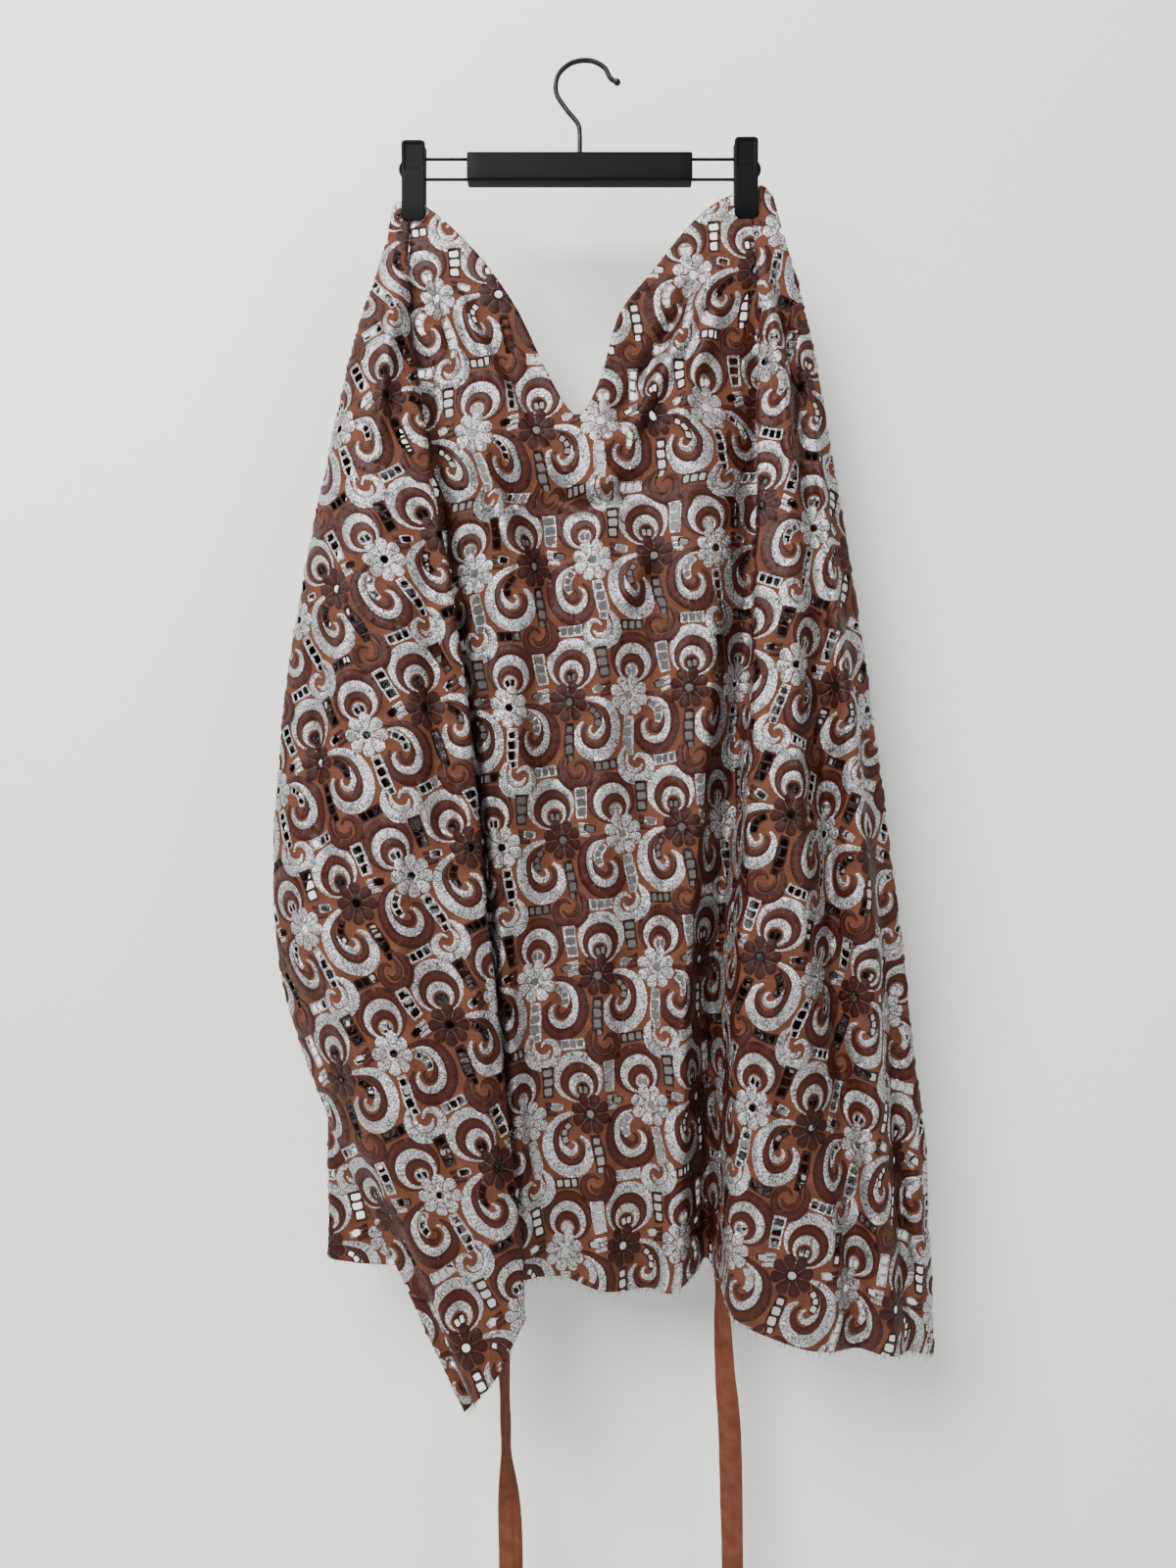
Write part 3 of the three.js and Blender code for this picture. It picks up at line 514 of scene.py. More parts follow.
def fold_value(grid, column, place):
    folds = grid["folds"]
    return through(range(len(folds)), [fold[column] for fold in folds], place)


def across_rows(grid, height, pick):
    """Blends what pick(row) gives between the two level cuts about each height."""
    rows = grid["rows"]
    at = np.clip((rows[0] - height) / ROW_STEP, 0, len(rows) - 1.001)
    low = at.astype(int)
    share = at - low
    first, second = pick(low), pick(low + 1)
    if first.ndim > 1:
        share = share[:, None]
    return first * (1 - share) + second * share


def length_at(grid, place, height, from_fold):
    """How far along the cloth a place lies from a named fold, at each height."""
    column = fold_number(grid, from_fold) * PLACES_PER_FOLD
    place = np.broadcast_to(np.asarray(place, float), height.shape) * PLACES_PER_FOLD
    low = np.minimum(place.astype(int), len(grid["places"]) - 2)
    share = place - low

    def pick(row):
        run = grid["lengths"][row]
        each = np.arange(len(row))
        here = run[each, low] * (1 - share) + run[each, low + 1] * share
        return here - run[each, column]

    return across_rows(grid, height, pick)


def cloth_points(grid, length, height, from_fold):
    """The points of the cloth, in millimetres, for lengths from a fold and heights."""
    column = fold_number(grid, from_fold) * PLACES_PER_FOLD

    def pick(row):
        found = np.zeros((len(row), 2))
        for r in np.unique(row):
            chosen = row == r
            run = grid["lengths"][r] - grid["lengths"][r, column]
            found[chosen, 0] = np.interp(length[chosen], run, grid["points"][r, :, 0])
            found[chosen, 1] = np.interp(length[chosen], run, grid["points"][r, :, 1])
        return found

    flat = across_rows(grid, height, pick)
    return np.stack([flat[:, 0], flat[:, 1], height], axis=1)


flap_cloth = drape_grid(FLAP)
body_cloth = drape_grid(BODY)
behind_cloth = drape_grid(BEHIND_RIGHT)

# Cutwork. Machine embroidery in satin stitch on a plain tan ground, with the gaps cut out and bound.
# A silver and a brown unit stand side by side in a row, and every other row is the mirror image.
UNIT_WIDTH = 60
ROW_HEIGHT = 126
ROW_SHIFT = -21
# How far a unit can reach from the middle of its flower.
UNIT_REACH = 78
OUTLINE = 0.4
GROUND, BROWN, SILVER, DARK, GAP = range(5)
RIM_LIFT = 0.25
CREST_LIFT = 1.35
THINNEST_BAND = 0.25
FULL_BAND = 1.6


def stitched_band(centres, widths, spacing=3.2):
    """The middle line of a tapered band, with the way to its side and its half width less the outline at
    each step.
    """
    centres = np.asarray(centres, float)
    chord = np.linalg.norm(np.diff(centres, axis=0), axis=1)
    knots = np.concatenate([[0], np.cumsum(chord)])
    steps = max(3, int(knots[-1] / spacing) + 1)
    at = np.linspace(0, knots[-1], steps)
    middle = through(knots, centres, at)
    half = np.interp(at, np.linspace(0, knots[-1], len(widths)), widths) / 2 - OUTLINE
    ahead = np.gradient(middle, axis=0)
    ahead /= np.linalg.norm(ahead, axis=1)[:, None]
    side = np.stack([-ahead[:, 1], ahead[:, 0]], axis=1)
    return middle, side, half


def band_faces(middle, left, right, thick):
    """Faces of a band as (corners, lifts, lay), leaving out where it is thinner than a thread."""
    faces = []
    for i in range(len(middle) - 1):
        if min(thick[i], thick[i + 1]) < THINNEST_BAND:
            continue
        near, far = (CREST_LIFT * min(1, thick[k] / FULL_BAND) for k in (i, i + 1))
        lay = middle[i + 1] - middle[i]
        corners, lifts = [left[i], middle[i], middle[i + 1], left[i + 1]], [RIM_LIFT, near, far, RIM_LIFT]
        faces.append((corners, lifts, lay))
        corners, lifts = [middle[i], right[i], right[i + 1], middle[i + 1]], [near, RIM_LIFT, RIM_LIFT, far]
        faces.append((corners, lifts, lay))
    return faces


def scroll(centres, widths):
    middle, side, half = stitched_band(centres, widths)
    half = np.maximum(half, 0.05)[:, None]
    return band_faces(middle, middle + side * half, middle - side * half, half[:, 0])


def crescent(outer, inner, steps=26):
    """The band between two nested circles, given as (right, up, radius)."""
    angles = np.linspace(0, 2 * math.pi, steps + 1)
    round_it = np.stack([np.cos(angles), np.sin(angles)], axis=1)
    rim = np.array(outer[:2]) + round_it * (outer[2] - OUTLINE)
    hollow = np.array(inner[:2]) + round_it * (inner[2] + OUTLINE)
    thick = np.sum((rim - hollow) * round_it, axis=1) / 2
    middle = (rim + hollow) / 2
    return band_faces(middle, hollow, rim, thick)


def disc(right, up, radius, steps=14):
    angles = np.linspace(0, 2 * math.pi, steps, endpoint=False)
    rim = [np.array((right + radius * math.cos(a), up + radius * math.sin(a))) for a in angles]
    return [(rim, [RIM_LIFT] * steps, np.array((0.0, 1.0)))]


def gap(right, up, wide, high, turned=0):
    """An opening with rounded corners."""
    corner = 0.3
    a, b = wide / 2, high / 2
    shape = [
        (a, -b + b * corner), (a, b - b * corner), (a - a * corner, b), (-a + a * corner, b),
        (-a, b - b * corner), (-a, -b + b * corner), (-a + a * corner, -b), (a - a * corner, -b),
    ]
    cos, sin = math.cos(math.radians(turned)), math.sin(math.radians(turned))
    rim = [np.array((right + x * cos - y * sin, up + x * sin + y * cos)) for x, y in shape]
    return [(rim, [RIM_LIFT] * len(rim), np.array((0.0, 1.0)))]


def petal(angle, reach, wide):
    """One petal as two faces on either side of its crest."""
    along = np.array((math.cos(angle), math.sin(angle)))
    side = np.array((-along[1], along[0]))
    places = [6.2, 9, 12.5, 15.8, reach - 0.9, reach]
    widths = [0.16, 0.27, 0.41, 0.44, 0.27, 0.0]
    lifts = [0.6, 1.1, 1.5, 1.4, 0.9, RIM_LIFT]
    middle = np.array([along * at for at in places])
    left = np.array([along * at + side * wide * w for at, w in zip(places, widths)])
    right = np.array([along * at - side * wide * w for at, w in zip(places, widths)])
    faces = []
    for i in range(len(places) - 1):
        a, b, rim = lifts[i], lifts[i + 1], RIM_LIFT
        if i == len(places) - 2:
            faces.append(([left[i], middle[i], middle[i + 1]], [rim, a, b], along))
            faces.append(([middle[i], right[i], middle[i + 1]], [a, rim, b], along))
        else:
            faces.append(([left[i], middle[i], middle[i + 1], left[i + 1]], [rim, a, b, rim], along))
            faces.append(([middle[i], right[i], right[i + 1], middle[i + 1]], [a, rim, rim, b], along))
    return faces


CRESCENTS = [(8, 34, 24.2), (7.2, 29.6, 18.2), (6, 25.8, 12.4), (5, 22.6, 7.4)]
SMALL_SCROLLS = [
    ([(-9, -47), (-14, -55), (-15.5, -65), (-10.5, -74), (-1, -78), (9, -75), (13.5, -67), (11, -58.5),
      (3.5, -55.5), (-1.5, -60)], [2.4, 7, 9.4, 10.4, 10.4, 9.8, 8.8, 7.4, 5.4, 2.4]),
    ([(-7, -54), (-8.5, -62), (-4, -69), (3, -69.5), (6.5, -64.5)], [2.4, 5, 6.4, 5.6, 2.4]),
]
SCROLLS = [
    ([(17, 1), (29, -2), (38, -9), (42.5, -20), (42, -33), (36, -44.5), (26, -51.5), (15, -50.5),
      (7, -43.5), (4.5, -34), (6.5, -25.5), (12, -20)],
     [3.8, 6.6, 9.4, 11, 12, 12.4, 12.4, 11.6, 10.6, 9, 6.6, 3]),
    ([(19, -3.5), (27, -6), (33.5, -12.5), (35.3, -22), (34, -32), (29.5, -40), (22.5, -43.3), (15, -40.5),
      (11.3, -34), (12, -27), (16, -23)], [2.4, 4.6, 6, 7, 7.4, 7.8, 8, 7.4, 6.4, 5, 2.4]),
    ([(31.3, -18), (31, -25), (28, -31.5), (22.5, -35), (17.8, -32.5), (17.5, -27.5), (20.5, -24.5)],
     [2.2, 4.2, 6.2, 6.6, 5.6, 4, 2.2]),
]
# Gaps: right, up, wide, high, turned. The frames they stand in are bound in thread.
LADDERS = {
    "under the flower": [
        (-3, -25, 6, 5.5, 0), (-4, -34, 7, 7, 0), (-5, -43.5, 7, 7.5, 0), (-4, -52, 4.5, 5, 0),
    ],
    "between crescents": [(-23, 41, 8.5, 6, 0), (-23, 32.5, 8.5, 6.5, 0), (-22, 23.5, 7.5, 7, 0)],
    "between rows": [(22, -62, 5, 6.6, 0), (29, -62, 5.4, 6.6, 0), (36, -61.5, 5, 6.6, 0)],
    "in the scroll": [(22.8, -10.5, 4.6, 5, 50), (26.6, -15.8, 4.6, 5, 20), (26.4, -22.4, 5, 5.4, -10)],
    "in the crescent": [(2.6, 21.8, 3.8, 6, 8), (7.6, 22.2, 3.8, 6, -8)],
    "beside the scroll": [(31, 8, 8, 5.5, 20)],
}


def unit(colour):
    """One unit as rows of (layer, thread, faces), measured from the middle of its flower."""
    one, other = (SILVER, BROWN) if colour == "silver" else (BROWN, SILVER)
    flower = SILVER if colour == "silver" else DARK
    first = BROWN if colour == "silver" else SILVER
    second = SILVER if colour == "silver" else BROWN
    shapes = []
    for i, thread in enumerate((first, second, first)):
        shapes.append((1, thread, crescent(CRESCENTS[i], CRESCENTS[i + 1])))
    shapes.append((1, second, disc(5, 22.4, 6.2)))
    for (centres, widths), thread in zip(SCROLLS, (first, second, first)):
        shapes.append((2, thread, scroll(centres, widths)))
    shapes.append((3, second, scroll([(20, -7.5), (26, -14.5), (27, -21), (25, -27)], [8.2, 8.6, 8.6, 6])))
    for centres, widths in SMALL_SCROLLS:
        shapes.append((3, one, scroll(centres, widths)))
    shapes.append((4, one, scroll([(-2, -19), (-3, -30), (-5, -43.5), (-4, -55)], [9.6, 11.6, 12, 7.6])))
    shapes.append((4, other, scroll([(-23.5, 46.5), (-23, 32), (-21.5, 18)], [12.4, 12.2, 11])))
    shapes.append((4, one, scroll([(17.5, -62), (29, -62), (40.5, -61)], [10.6, 10.4, 10.6])))
    shapes.append((4, other, scroll([(25.5, 7), (31, 8.4), (37, 10)], [6, 8.6, 7])))
    for up in (12.6, 8, 3.4):
        shapes.append((4, other, scroll([(-28, up - 1.5), (-17.5, up + 0.5)], [4.2, 4.4])))
    for k in range(8):
        shapes.append((5, flower, petal(math.radians(45 * k + 22.5), 19.2, 11.9)))
    shapes.append((6, flower, disc(0, 0, 6.4, 18)))
    for holes in LADDERS.values():
        for right, up, wide, high, turned in holes:
            shapes.append((7, GAP, gap(right, up, wide, high, turned)))
    shapes.append((7, GAP, disc(0, 0, 3.6, 12)))
    return [(layer, thread, uncovered(faces, layer, shapes)) for layer, thread, faces in shapes]


def turned_area(loop):
    """Twice the area of a closed outline, below zero where it runs clockwise."""
    return np.sum(loop[:, 0] * np.roll(loop[:, 1], -1) - np.roll(loop[:, 0], -1) * loop[:, 1])


def inside(outline, points):
    """Whether each point lies inside a closed outline."""
    found = np.zeros(len(points), bool)
    x, y = points[:, 0], points[:, 1]
    for (ax, ay), (bx, by) in zip(outline, np.roll(outline, -1, axis=0)):
        if ay == by:
            continue
        crosses = (ay > y) != (by > y)
        found ^= crosses & (x < (bx - ax) * (y - ay) / (by - ay) + ax)
    return found


def uncovered(faces, layer, shapes):
    """The faces that no later stitching of the same unit hides."""
    corners = np.concatenate([face[0] for face in faces])
    hidden = np.zeros(len(corners), bool)
    for above, _, others in shapes:
        if above > layer:
            for rim, _, _ in others:
                hidden |= inside(np.array(rim), corners)
    seen, at = [], 0
    for face in faces:
        if not hidden[at:at + len(face[0])].all():
            seen.append(face)
        at += len(face[0])
    return seen


UNITS = {"silver": unit("silver"), "brown": unit("brown")}


def chart(outline, grain):
    """All faces of the embroidery that reach a panel, laid on its cloth by its grain."""
    turned = math.radians(grain["turned"])
    cos, sin = math.cos(turned), math.sin(turned)
    low, high = outline.min(0) - UNIT_REACH, outline.max(0) + UNIT_REACH
    edges = np.roll(outline, -1, axis=0) - outline
    faces, shape_count = [], 0
    for row in range(-9, 10):
        mirror = 1 if row % 2 == 0 else -1
        shift = 0 if row % 2 == 0 else ROW_SHIFT
        for number in range(-16, 17):
            across, up = number * UNIT_WIDTH + shift, row * ROW_HEIGHT
            middle = np.array((
                grain["along"] + across * cos - up * sin,
                grain["height"] + across * sin + up * cos,
            ))
            if np.any(middle < low) or np.any(middle > high):
                continue
            # Units that don't reach the panel are left out.
            t = np.clip(((middle - outline) * edges).sum(1) / np.maximum((edges**2).sum(1), 1e-9), 0, 1)
            near = np.linalg.norm(outline + edges * t[:, None] - middle, axis=1).min()
            if near > UNIT_REACH and not inside(outline, middle[None, :])[0]:
                continue
            colour = "silver" if number % 2 == 0 else "brown"
            for layer, thread, shapes in UNITS[colour]:
                shape_count += 1
                for corners, lifts, lay in shapes:
                    corners = np.vstack([corners, lay])
                    x, y = corners[:, 0] * mirror, corners[:, 1]
                    laid = np.stack([x * cos - y * sin, x * sin + y * cos], axis=1)
                    lay, laid = laid[-1], laid[:-1] + middle
                    if turned_area(laid) < 0:
                        laid, lifts = laid[::-1], lifts[::-1]
                    faces.append((layer, thread, shape_count, laid, lifts, lay / np.linalg.norm(lay)))
    reached = inside(outline, np.concatenate([face[3] for face in faces]))
    seen, at = [], 0
    for face in faces:
        if reached[at:at + len(face[3])].any():
            seen.append(face)
        at += len(face[3])
    seen.sort(key=lambda face: face[0])
    return seen


def panel_outline(grid, first, last, grain):
    """The edge of a panel's cloth, as lengths from the grain's fold and heights."""
    steps = 260
    places = np.linspace(first, last, 160)
    top, hem = fold_value(grid, 1, places), fold_value(grid, 2, places)
    left = np.linspace(top[0], hem[0], steps)
    right = np.linspace(hem[-1], top[-1], steps)
    parts = [
        (np.full(steps, first), left), (places, hem),
        (np.full(steps, last), right), (places[::-1], top[::-1]),
    ]
    return np.vstack([
        np.stack([length_at(grid, place, height, grain["fold"]), height], axis=1)[:-1]
        for place, height in parts
    ])


SPARE_POINTS = 6.5
COVERED_LIFT = 0.8
EDGE_LIFT = 0.1
SAME_POINT = 0.02
OPEN_AIR = -5


def embroider(grid, first, last, grain):
    """Cuts and stitches one panel flat. Gives its points, their lifts, and each face's thread and lay."""
    outline = panel_outline(grid, first, last, grain)
    keep = np.linalg.norm(outline - np.roll(outline, 1, axis=0), axis=1) > SAME_POINT
    outline = outline[keep]
    if turned_area(outline) < 0:
        outline = outline[::-1]
    stitched = chart(outline, grain)
    points = [Vector(point) for point in outline]
    lifts, shapes = [EDGE_LIFT] * len(points), [0] * len(points)
    faces = [list(range(len(points)))]
    threads, face_shapes, lays = [GROUND], [0], [(0.0, 0.0)]
    for _, thread, shape, laid, lift, lay in stitched:
        faces.append(list(range(len(points), len(points) + len(laid))))
        threads.append(thread)
        face_shapes.append(shape)
        lays.append(lay)
        points.extend(Vector(point) for point in laid)
        lifts.extend(lift)
        shapes.extend([shape] * len(laid))
    low, high = outline.min(0), outline.max(0)
    columns = int((high[0] - low[0]) / SPARE_POINTS) + 1
    rows = int((high[1] - low[1]) / SPARE_POINTS) + 1
    free = np.array([
        (low[0] + (c + 0.5 * (r % 2)) * SPARE_POINTS, low[1] + r * SPARE_POINTS)
        for r in range(rows) for c in range(columns)
    ])
    free = free[inside(outline, free)]
    points.extend(Vector(point) for point in free)
    lifts.extend([0.0] * len(free))
    shapes.extend([-1] * len(free))
    made, _, triangles, came_from, _, owners = delaunay_2d_cdt(points, [], faces, 0, 1e-4, True)
    flat = np.array([tuple(point) for point in made])
    triangles = np.array([tuple(face) for face in triangles])
    winner = np.array([max(each) if len(each) and 0 in each else -1 for each in owners])
    thread = np.where(winner >= 0, np.array(threads)[winner], GAP)
    shape = np.where(thread == GAP, OPEN_AIR, np.array(face_shapes)[winner])
    # A point is inside a stitched shape when all the faces about it belong to that shape.
    most, least = np.full(len(flat), -9), np.full(len(flat), 10**9)
    for corner in range(3):
        np.maximum.at(most, triangles[:, corner], shape)
        np.minimum.at(least, triangles[:, corner], shape)
    lift = np.full(len(flat), RIM_LIFT)
    plain = (most == 0) & (least == 0)
    lift[plain] = 0
    stitched_in = (most == least) & (most > 0)
    for i in np.nonzero(stitched_in)[0]:
        own = [lifts[k] for k in came_from[i] if shapes[k] == most[i]]
        lift[i] = max(own) if own else COVERED_LIFT
    edge = (least == OPEN_AIR) & (most >= 0)
    lift[edge] = np.where(most[edge] == 0, EDGE_LIFT, RIM_LIFT)
    shown = thread != GAP
    triangles, thread, lay = triangles[shown], thread[shown], np.array(lays)[winner[shown]]
    used = np.unique(triangles)
    again = np.full(len(flat), -1)
    again[used] = np.arange(len(used))
    return flat[used], lift[used], again[triangles], thread, lay


# Creases in the hanging cloth. Each is a line in the view from the front, as (x, height) in millimetres,
# with how far it stands out towards the viewer and how wide it is. They are soft, and fade at both ends.
CLIP_PLACES = [(-161.5, -140), (143, -138)]
CREASE_DEPTH = 2.1
# How much of a crease is left at its ends, and over what share of its length it fades.
END_SHARE = 0.2
FADE = 0.3
# The clips hold the cloth flat out to the first distance, and let it go by the first and second.
HELD_FLAT, LET_GO = 26, 60
CENTRE_CREASES = [
    ([(-106, -331), (-93, -388), (-76, -430), (-60, -467), (-53, -515)], 6, 11),
    ([(-78, -581), (-60, -640), (-38, -698)], 4, 14),
    ([(54, -444), (37, -480), (30, -507)], 5, 10),
    ([(-150, -168), (-128, -240), (-112, -300)], 5, 8),
    ([(-140, -176), (-96, -262), (-58, -330), (-30, -362), (-6, -372)], 5, 8),
    ([(-118, -210), (-76, -290), (-44, -346), (-14, -352)], -5, 7),
    ([(126, -178), (100, -222), (66, -286), (36, -338), (4, -360)], 6, 8),
    ([(112, -176), (74, -240), (42, -300), (16, -340)], -5, 7),
    ([(130, -196), (104, -262), (84, -322), (78, -372)], 5, 9),
    ([(-40, -352), (-14, -386), (12, -388), (40, -362)], 5, 8),
    ([(-58, -372), (-22, -404), (16, -404), (56, -380)], -4, 8),
    ([(-150, -190), (-154, -240), (-148, -330), (-132, -450), (-116, -580), (-104, -710), (-90, -840),
      (-76, -980), (-63, -1100)], -4, 7),
    ([(-122, -440), (-103, -580), (-90, -700), (-77, -840), (-65, -980), (-54, -1100)], 5, 8),
    ([(120, -420), (110, -580), (98, -710), (88, -840), (86, -980), (84, -1100)], 5, 8),
    ([(-30, -760), (-36, -900), (-30, -1040), (-36, -1110)], 4, 16),
    ([(20, -720), (26, -860), (20, -1000), (24, -1118)], -3.5, 14),
    ([(74, -640), (66, -780), (60, -940), (58, -1110)], 4, 13),
    ([(-84, -760), (-78, -900), (-84, -1060)], 3, 12),
]
FLAP_CREASES = [
    ([(-170, -190), (-182, -280), (-190, -370)], 5, 7),
    ([(-160, -180), (-158, -260), (-150, -330)], -4, 6),
    ([(-196, -420), (-214, -520), (-220, -640)], 4, 13),
    ([(-150, -420), (-140, -540), (-132, -660), (-120, -780)], -5, 11),
    ([(-176, -640), (-168, -760), (-158, -880), (-140, -1000)], 4, 12),
    ([(-250, -560), (-244, -680), (-232, -780)], -4, 10),
    ([(-236, -800), (-214, -880), (-186, -960)], 4, 12),
    ([(-108, -760), (-98, -880), (-84, -1010), (-72, -1120)], 4, 9),
    ([(-150, -1000), (-118, -1090), (-96, -1160)], -3.5, 11),
]
RIGHT_CREASES = [
    ([(158, -190), (166, -260), (176, -330), (182, -420)], 5, 8),
    ([(170, -200), (188, -280), (204, -360)], -4, 7),
    ([(176, -470), (178, -600), (186, -740), (188, -860)], 4, 10),
    ([(228, -516), (238, -640), (252, -760), (258, -932)], 5, 8),
    ([(204, -560), (214, -700), (222, -860), (232, -1000)], -5, 9),
    ([(240, -930), (250, -1040), (256, -1180)], 5, 8),
    ([(284, -930), (296, -1040), (300, -1180)], 5, 8),
    ([(266, -760), (278, -900), (284, -1060), (286, -1180)], -4, 8),
    ([(160, -780), (156, -900), (150, -1020), (148, -1140)], 4, 10),
    ([(206, -980), (214, -1080), (216, -1170)], 4, 10),
]
BACK_LEFT_CREASES = [
    ([(-214, -420), (-222, -620), (-220, -860), (-216, -1080)], 4, 12),
    ([(-170, -520), (-168, -760), (-160, -1090)], -4, 13),
]
BACK_RIGHT_CREASES = [
    ([(184, -420), (196, -640), (200, -880), (204, -1090)], 4, 12),
    ([(214, -380), (238, -620), (244, -860), (252, -1080)], -4, 13),
]


def crease_lift(x, z, creases):
    """How far the creases bring the cloth forward at each place in the view from the front."""
    total = np.zeros(len(x))
    here = np.stack([x, z], axis=1)
    for line, stands_out, wide in creases:
        line = evenly(line, 12)
        nearest, along = np.full(len(x), 1e9), np.zeros(len(x))
        for k in range(len(line) - 1):
            step = line[k + 1] - line[k]
            t = np.clip(((here - line[k]) @ step) / (step @ step), 0, 1)
            far = np.linalg.norm(here - line[k] - t[:, None] * step, axis=1)
            closer = far < nearest
            nearest[closer], along[closer] = far[closer], (k + t[closer]) / (len(line) - 1)
        fade = np.clip(np.minimum(along, 1 - along) / FADE, 0, 1)
        fade = END_SHARE + (1 - END_SHARE) * fade * fade * (3 - 2 * fade)
        total += CREASE_DEPTH * stands_out * fade * np.exp(-((nearest / wide) ** 2))
    for clip_x, clip_z in CLIP_PLACES:
        total *= np.clip((np.hypot(x - clip_x, z - clip_z) - HELD_FLAT) / LET_GO, 0, 1)
    return total


def creased(grid, first, last, creases):
    """The same cloth with the creases pressed into one panel of it, and its lengths measured anew."""
    points = grid["points"].copy()
    panel = slice(first * PLACES_PER_FOLD, last * PLACES_PER_FOLD + 1)
    across = points[:, panel, 0]
    heights = np.broadcast_to(grid["rows"][:, None], across.shape)
    points[:, panel, 1] -= crease_lift(across.ravel(), heights.ravel(), creases).reshape(across.shape)
    lengths = np.zeros(points.shape[:2])
    lengths[:, 1:] = np.cumsum(np.linalg.norm(np.diff(points, axis=1), axis=2), axis=1)
    return dict(grid, points=points, lengths=lengths)


def slack(length, height):
    """The low unevenness of hanging cloth, none where the clips hold it."""
    wave = 0.7 * np.sin(length / 17 + 1.3 * np.sin(height / 61)) + 0.6 * np.sin(height / 29 + length / 47)
    wave += 0.45 * np.sin(length / 8.3 + height / 19)
    return wave * np.clip((-height - 190) / 160, 0, 1)


# Thread materials. Satin stitch is made of parallel threads laid across each band, so its fine lines
# and gloss run with the band. The silver thread is a flat foil that crackles, the brown is rayon.
# The brown and dark threads also carry painted shade at the rims of their bands and a painted highlight
# along their crests.
CLOTH_MAP = 1300
MAP_BOTTOM = 1260


def stitch_lines_group():
    """Fine lines across a stitched band, from the lay of its threads. Gives a streak and a height, and
    passes on the crest share from which the thread colours paint shade at band rims and a highlight along
    crests.
    """
    group = bpy.data.node_groups.new("stitch_lines", "ShaderNodeTree")
    for name, value in (("Spacing", 0.6), ("Stretch", 0.12)):
        socket = group.interface.new_socket(name, in_out="INPUT", socket_type="NodeSocketFloat")
        socket.default_value = value
    for name in ("Streak", "Crackle", "Height", "PaintedShadeCrest"):
        group.interface.new_socket(name, in_out="OUTPUT", socket_type="NodeSocketFloat")
    nodes, links = group.nodes, group.links
    given, out = nodes.new("NodeGroupInput"), nodes.new("NodeGroupOutput")
    cloth = put(nodes, "UVMap", uv_map="cloth")
    lay = put(nodes, "Attribute", attribute_name="lay")
    # The crest share of each point, passed on so that the thread colours can paint shade and highlight from
    # it.
    crest = put(nodes, "Attribute", attribute_name="crest")
    place = put(nodes, "VectorMath", {1: (CLOTH_MAP, CLOTH_MAP, 0)}, operation="MULTIPLY")
    across = put(nodes, "VectorMath", {1: (0, 0, 1)}, operation="CROSS_PRODUCT")
    along = put(nodes, "VectorMath", operation="DOT_PRODUCT")
    aside = put(nodes, "VectorMath", operation="DOT_PRODUCT")
    line = put(nodes, "Math", operation="DIVIDE")
    pulled = put(nodes, "Math", operation="MULTIPLY")
    pulled_more = put(nodes, "Math", {1: 5}, operation="MULTIPLY")
    threads, facets = put(nodes, "CombineXYZ"), put(nodes, "CombineXYZ")
    streak = put(nodes, "TexNoise", {"Scale": 1, "Detail": 3})
    crack = put(nodes, "TexVoronoi", {"Scale": 0.5}, feature="DISTANCE_TO_EDGE")
    height = put(nodes, "Math", {1: 0.8}, operation="MULTIPLY_ADD")
    join(
        links, (cloth, "UV", place, 0), (lay, "Vector", across, 0), (place, 0, along, 0),
        (lay, "Vector", along, 1), (place, 0, aside, 0), (across, 0, aside, 1), (along, "Value", line, 0),
        (given, "Spacing", line, 1), (aside, "Value", pulled, 0), (given, "Stretch", pulled, 1),
        (line, 0, threads, 0), (pulled, 0, threads, 1), (threads, 0, streak, "Vector"),
        (pulled, 0, pulled_more, 0), (line, 0, facets, 0), (pulled_more, 0, facets, 1),
        (facets, 0, crack, "Vector"), (crack, "Distance", height, 0), (streak, "Fac", height, 2),
        (crest, "Fac", out, "PaintedShadeCrest"), (streak, "Fac", out, "Streak"), (crack, "Distance", out, "Crackle"),
        (height, 0, out, "Height"),
    )
    return group


stitch_lines = stitch_lines_group()


def thread_lines(nodes, spacing, stretch):
    lines = put(nodes, "Group", node_tree=stitch_lines)
    lines.inputs["Spacing"].default_value = spacing
    lines.inputs["Stretch"].default_value = stretch
    return lines


def thread_material(name, dark, light, spacing, roughness):
    """Rayon satin stitch: streaked colour with a soft gloss, and painted shade and highlight: the colour is
    darker at a band's rims and lighter along its crest.
    """
    made, nodes, links, surface = material(name)
    lines = thread_lines(nodes, spacing, 0.12)
    tint = ramp(nodes, 0.3, dark, 0.8, light)
    # The crest share pulls the colour to its light end along each band's crest and leaves it dark at the
    # rims: painted shade and a painted highlight, mixed with the threads' real streaks.
    streak_and_painted_shade = put(nodes, "Math", {1: 0.5}, operation="MULTIPLY_ADD")
    streaks = put(nodes, "Math", {1: 0.62}, operation="MULTIPLY")
    gloss = put(nodes, "MapRange", {"To Min": roughness - 0.1, "To Max": roughness + 0.12})
    bump = put(nodes, "Bump", {"Strength": 0.6, "Distance": 0.0006})
    join(
        links, (lines, "PaintedShadeCrest", streak_and_painted_shade, 0), (lines, "Streak", streaks, 0), (streaks, 0, streak_and_painted_shade, 2),
        (streak_and_painted_shade, 0, tint, "Fac"), (lines, "Streak", gloss, "Value"), (tint, "Color", surface, "Base Color"),
        (gloss, "Result", surface, "Roughness"), (lines, "Height", bump, "Height"),
        (bump, "Normal", surface, "Normal"),
    )
    surface.inputs["Specular IOR Level"].default_value = 0.2
    return made


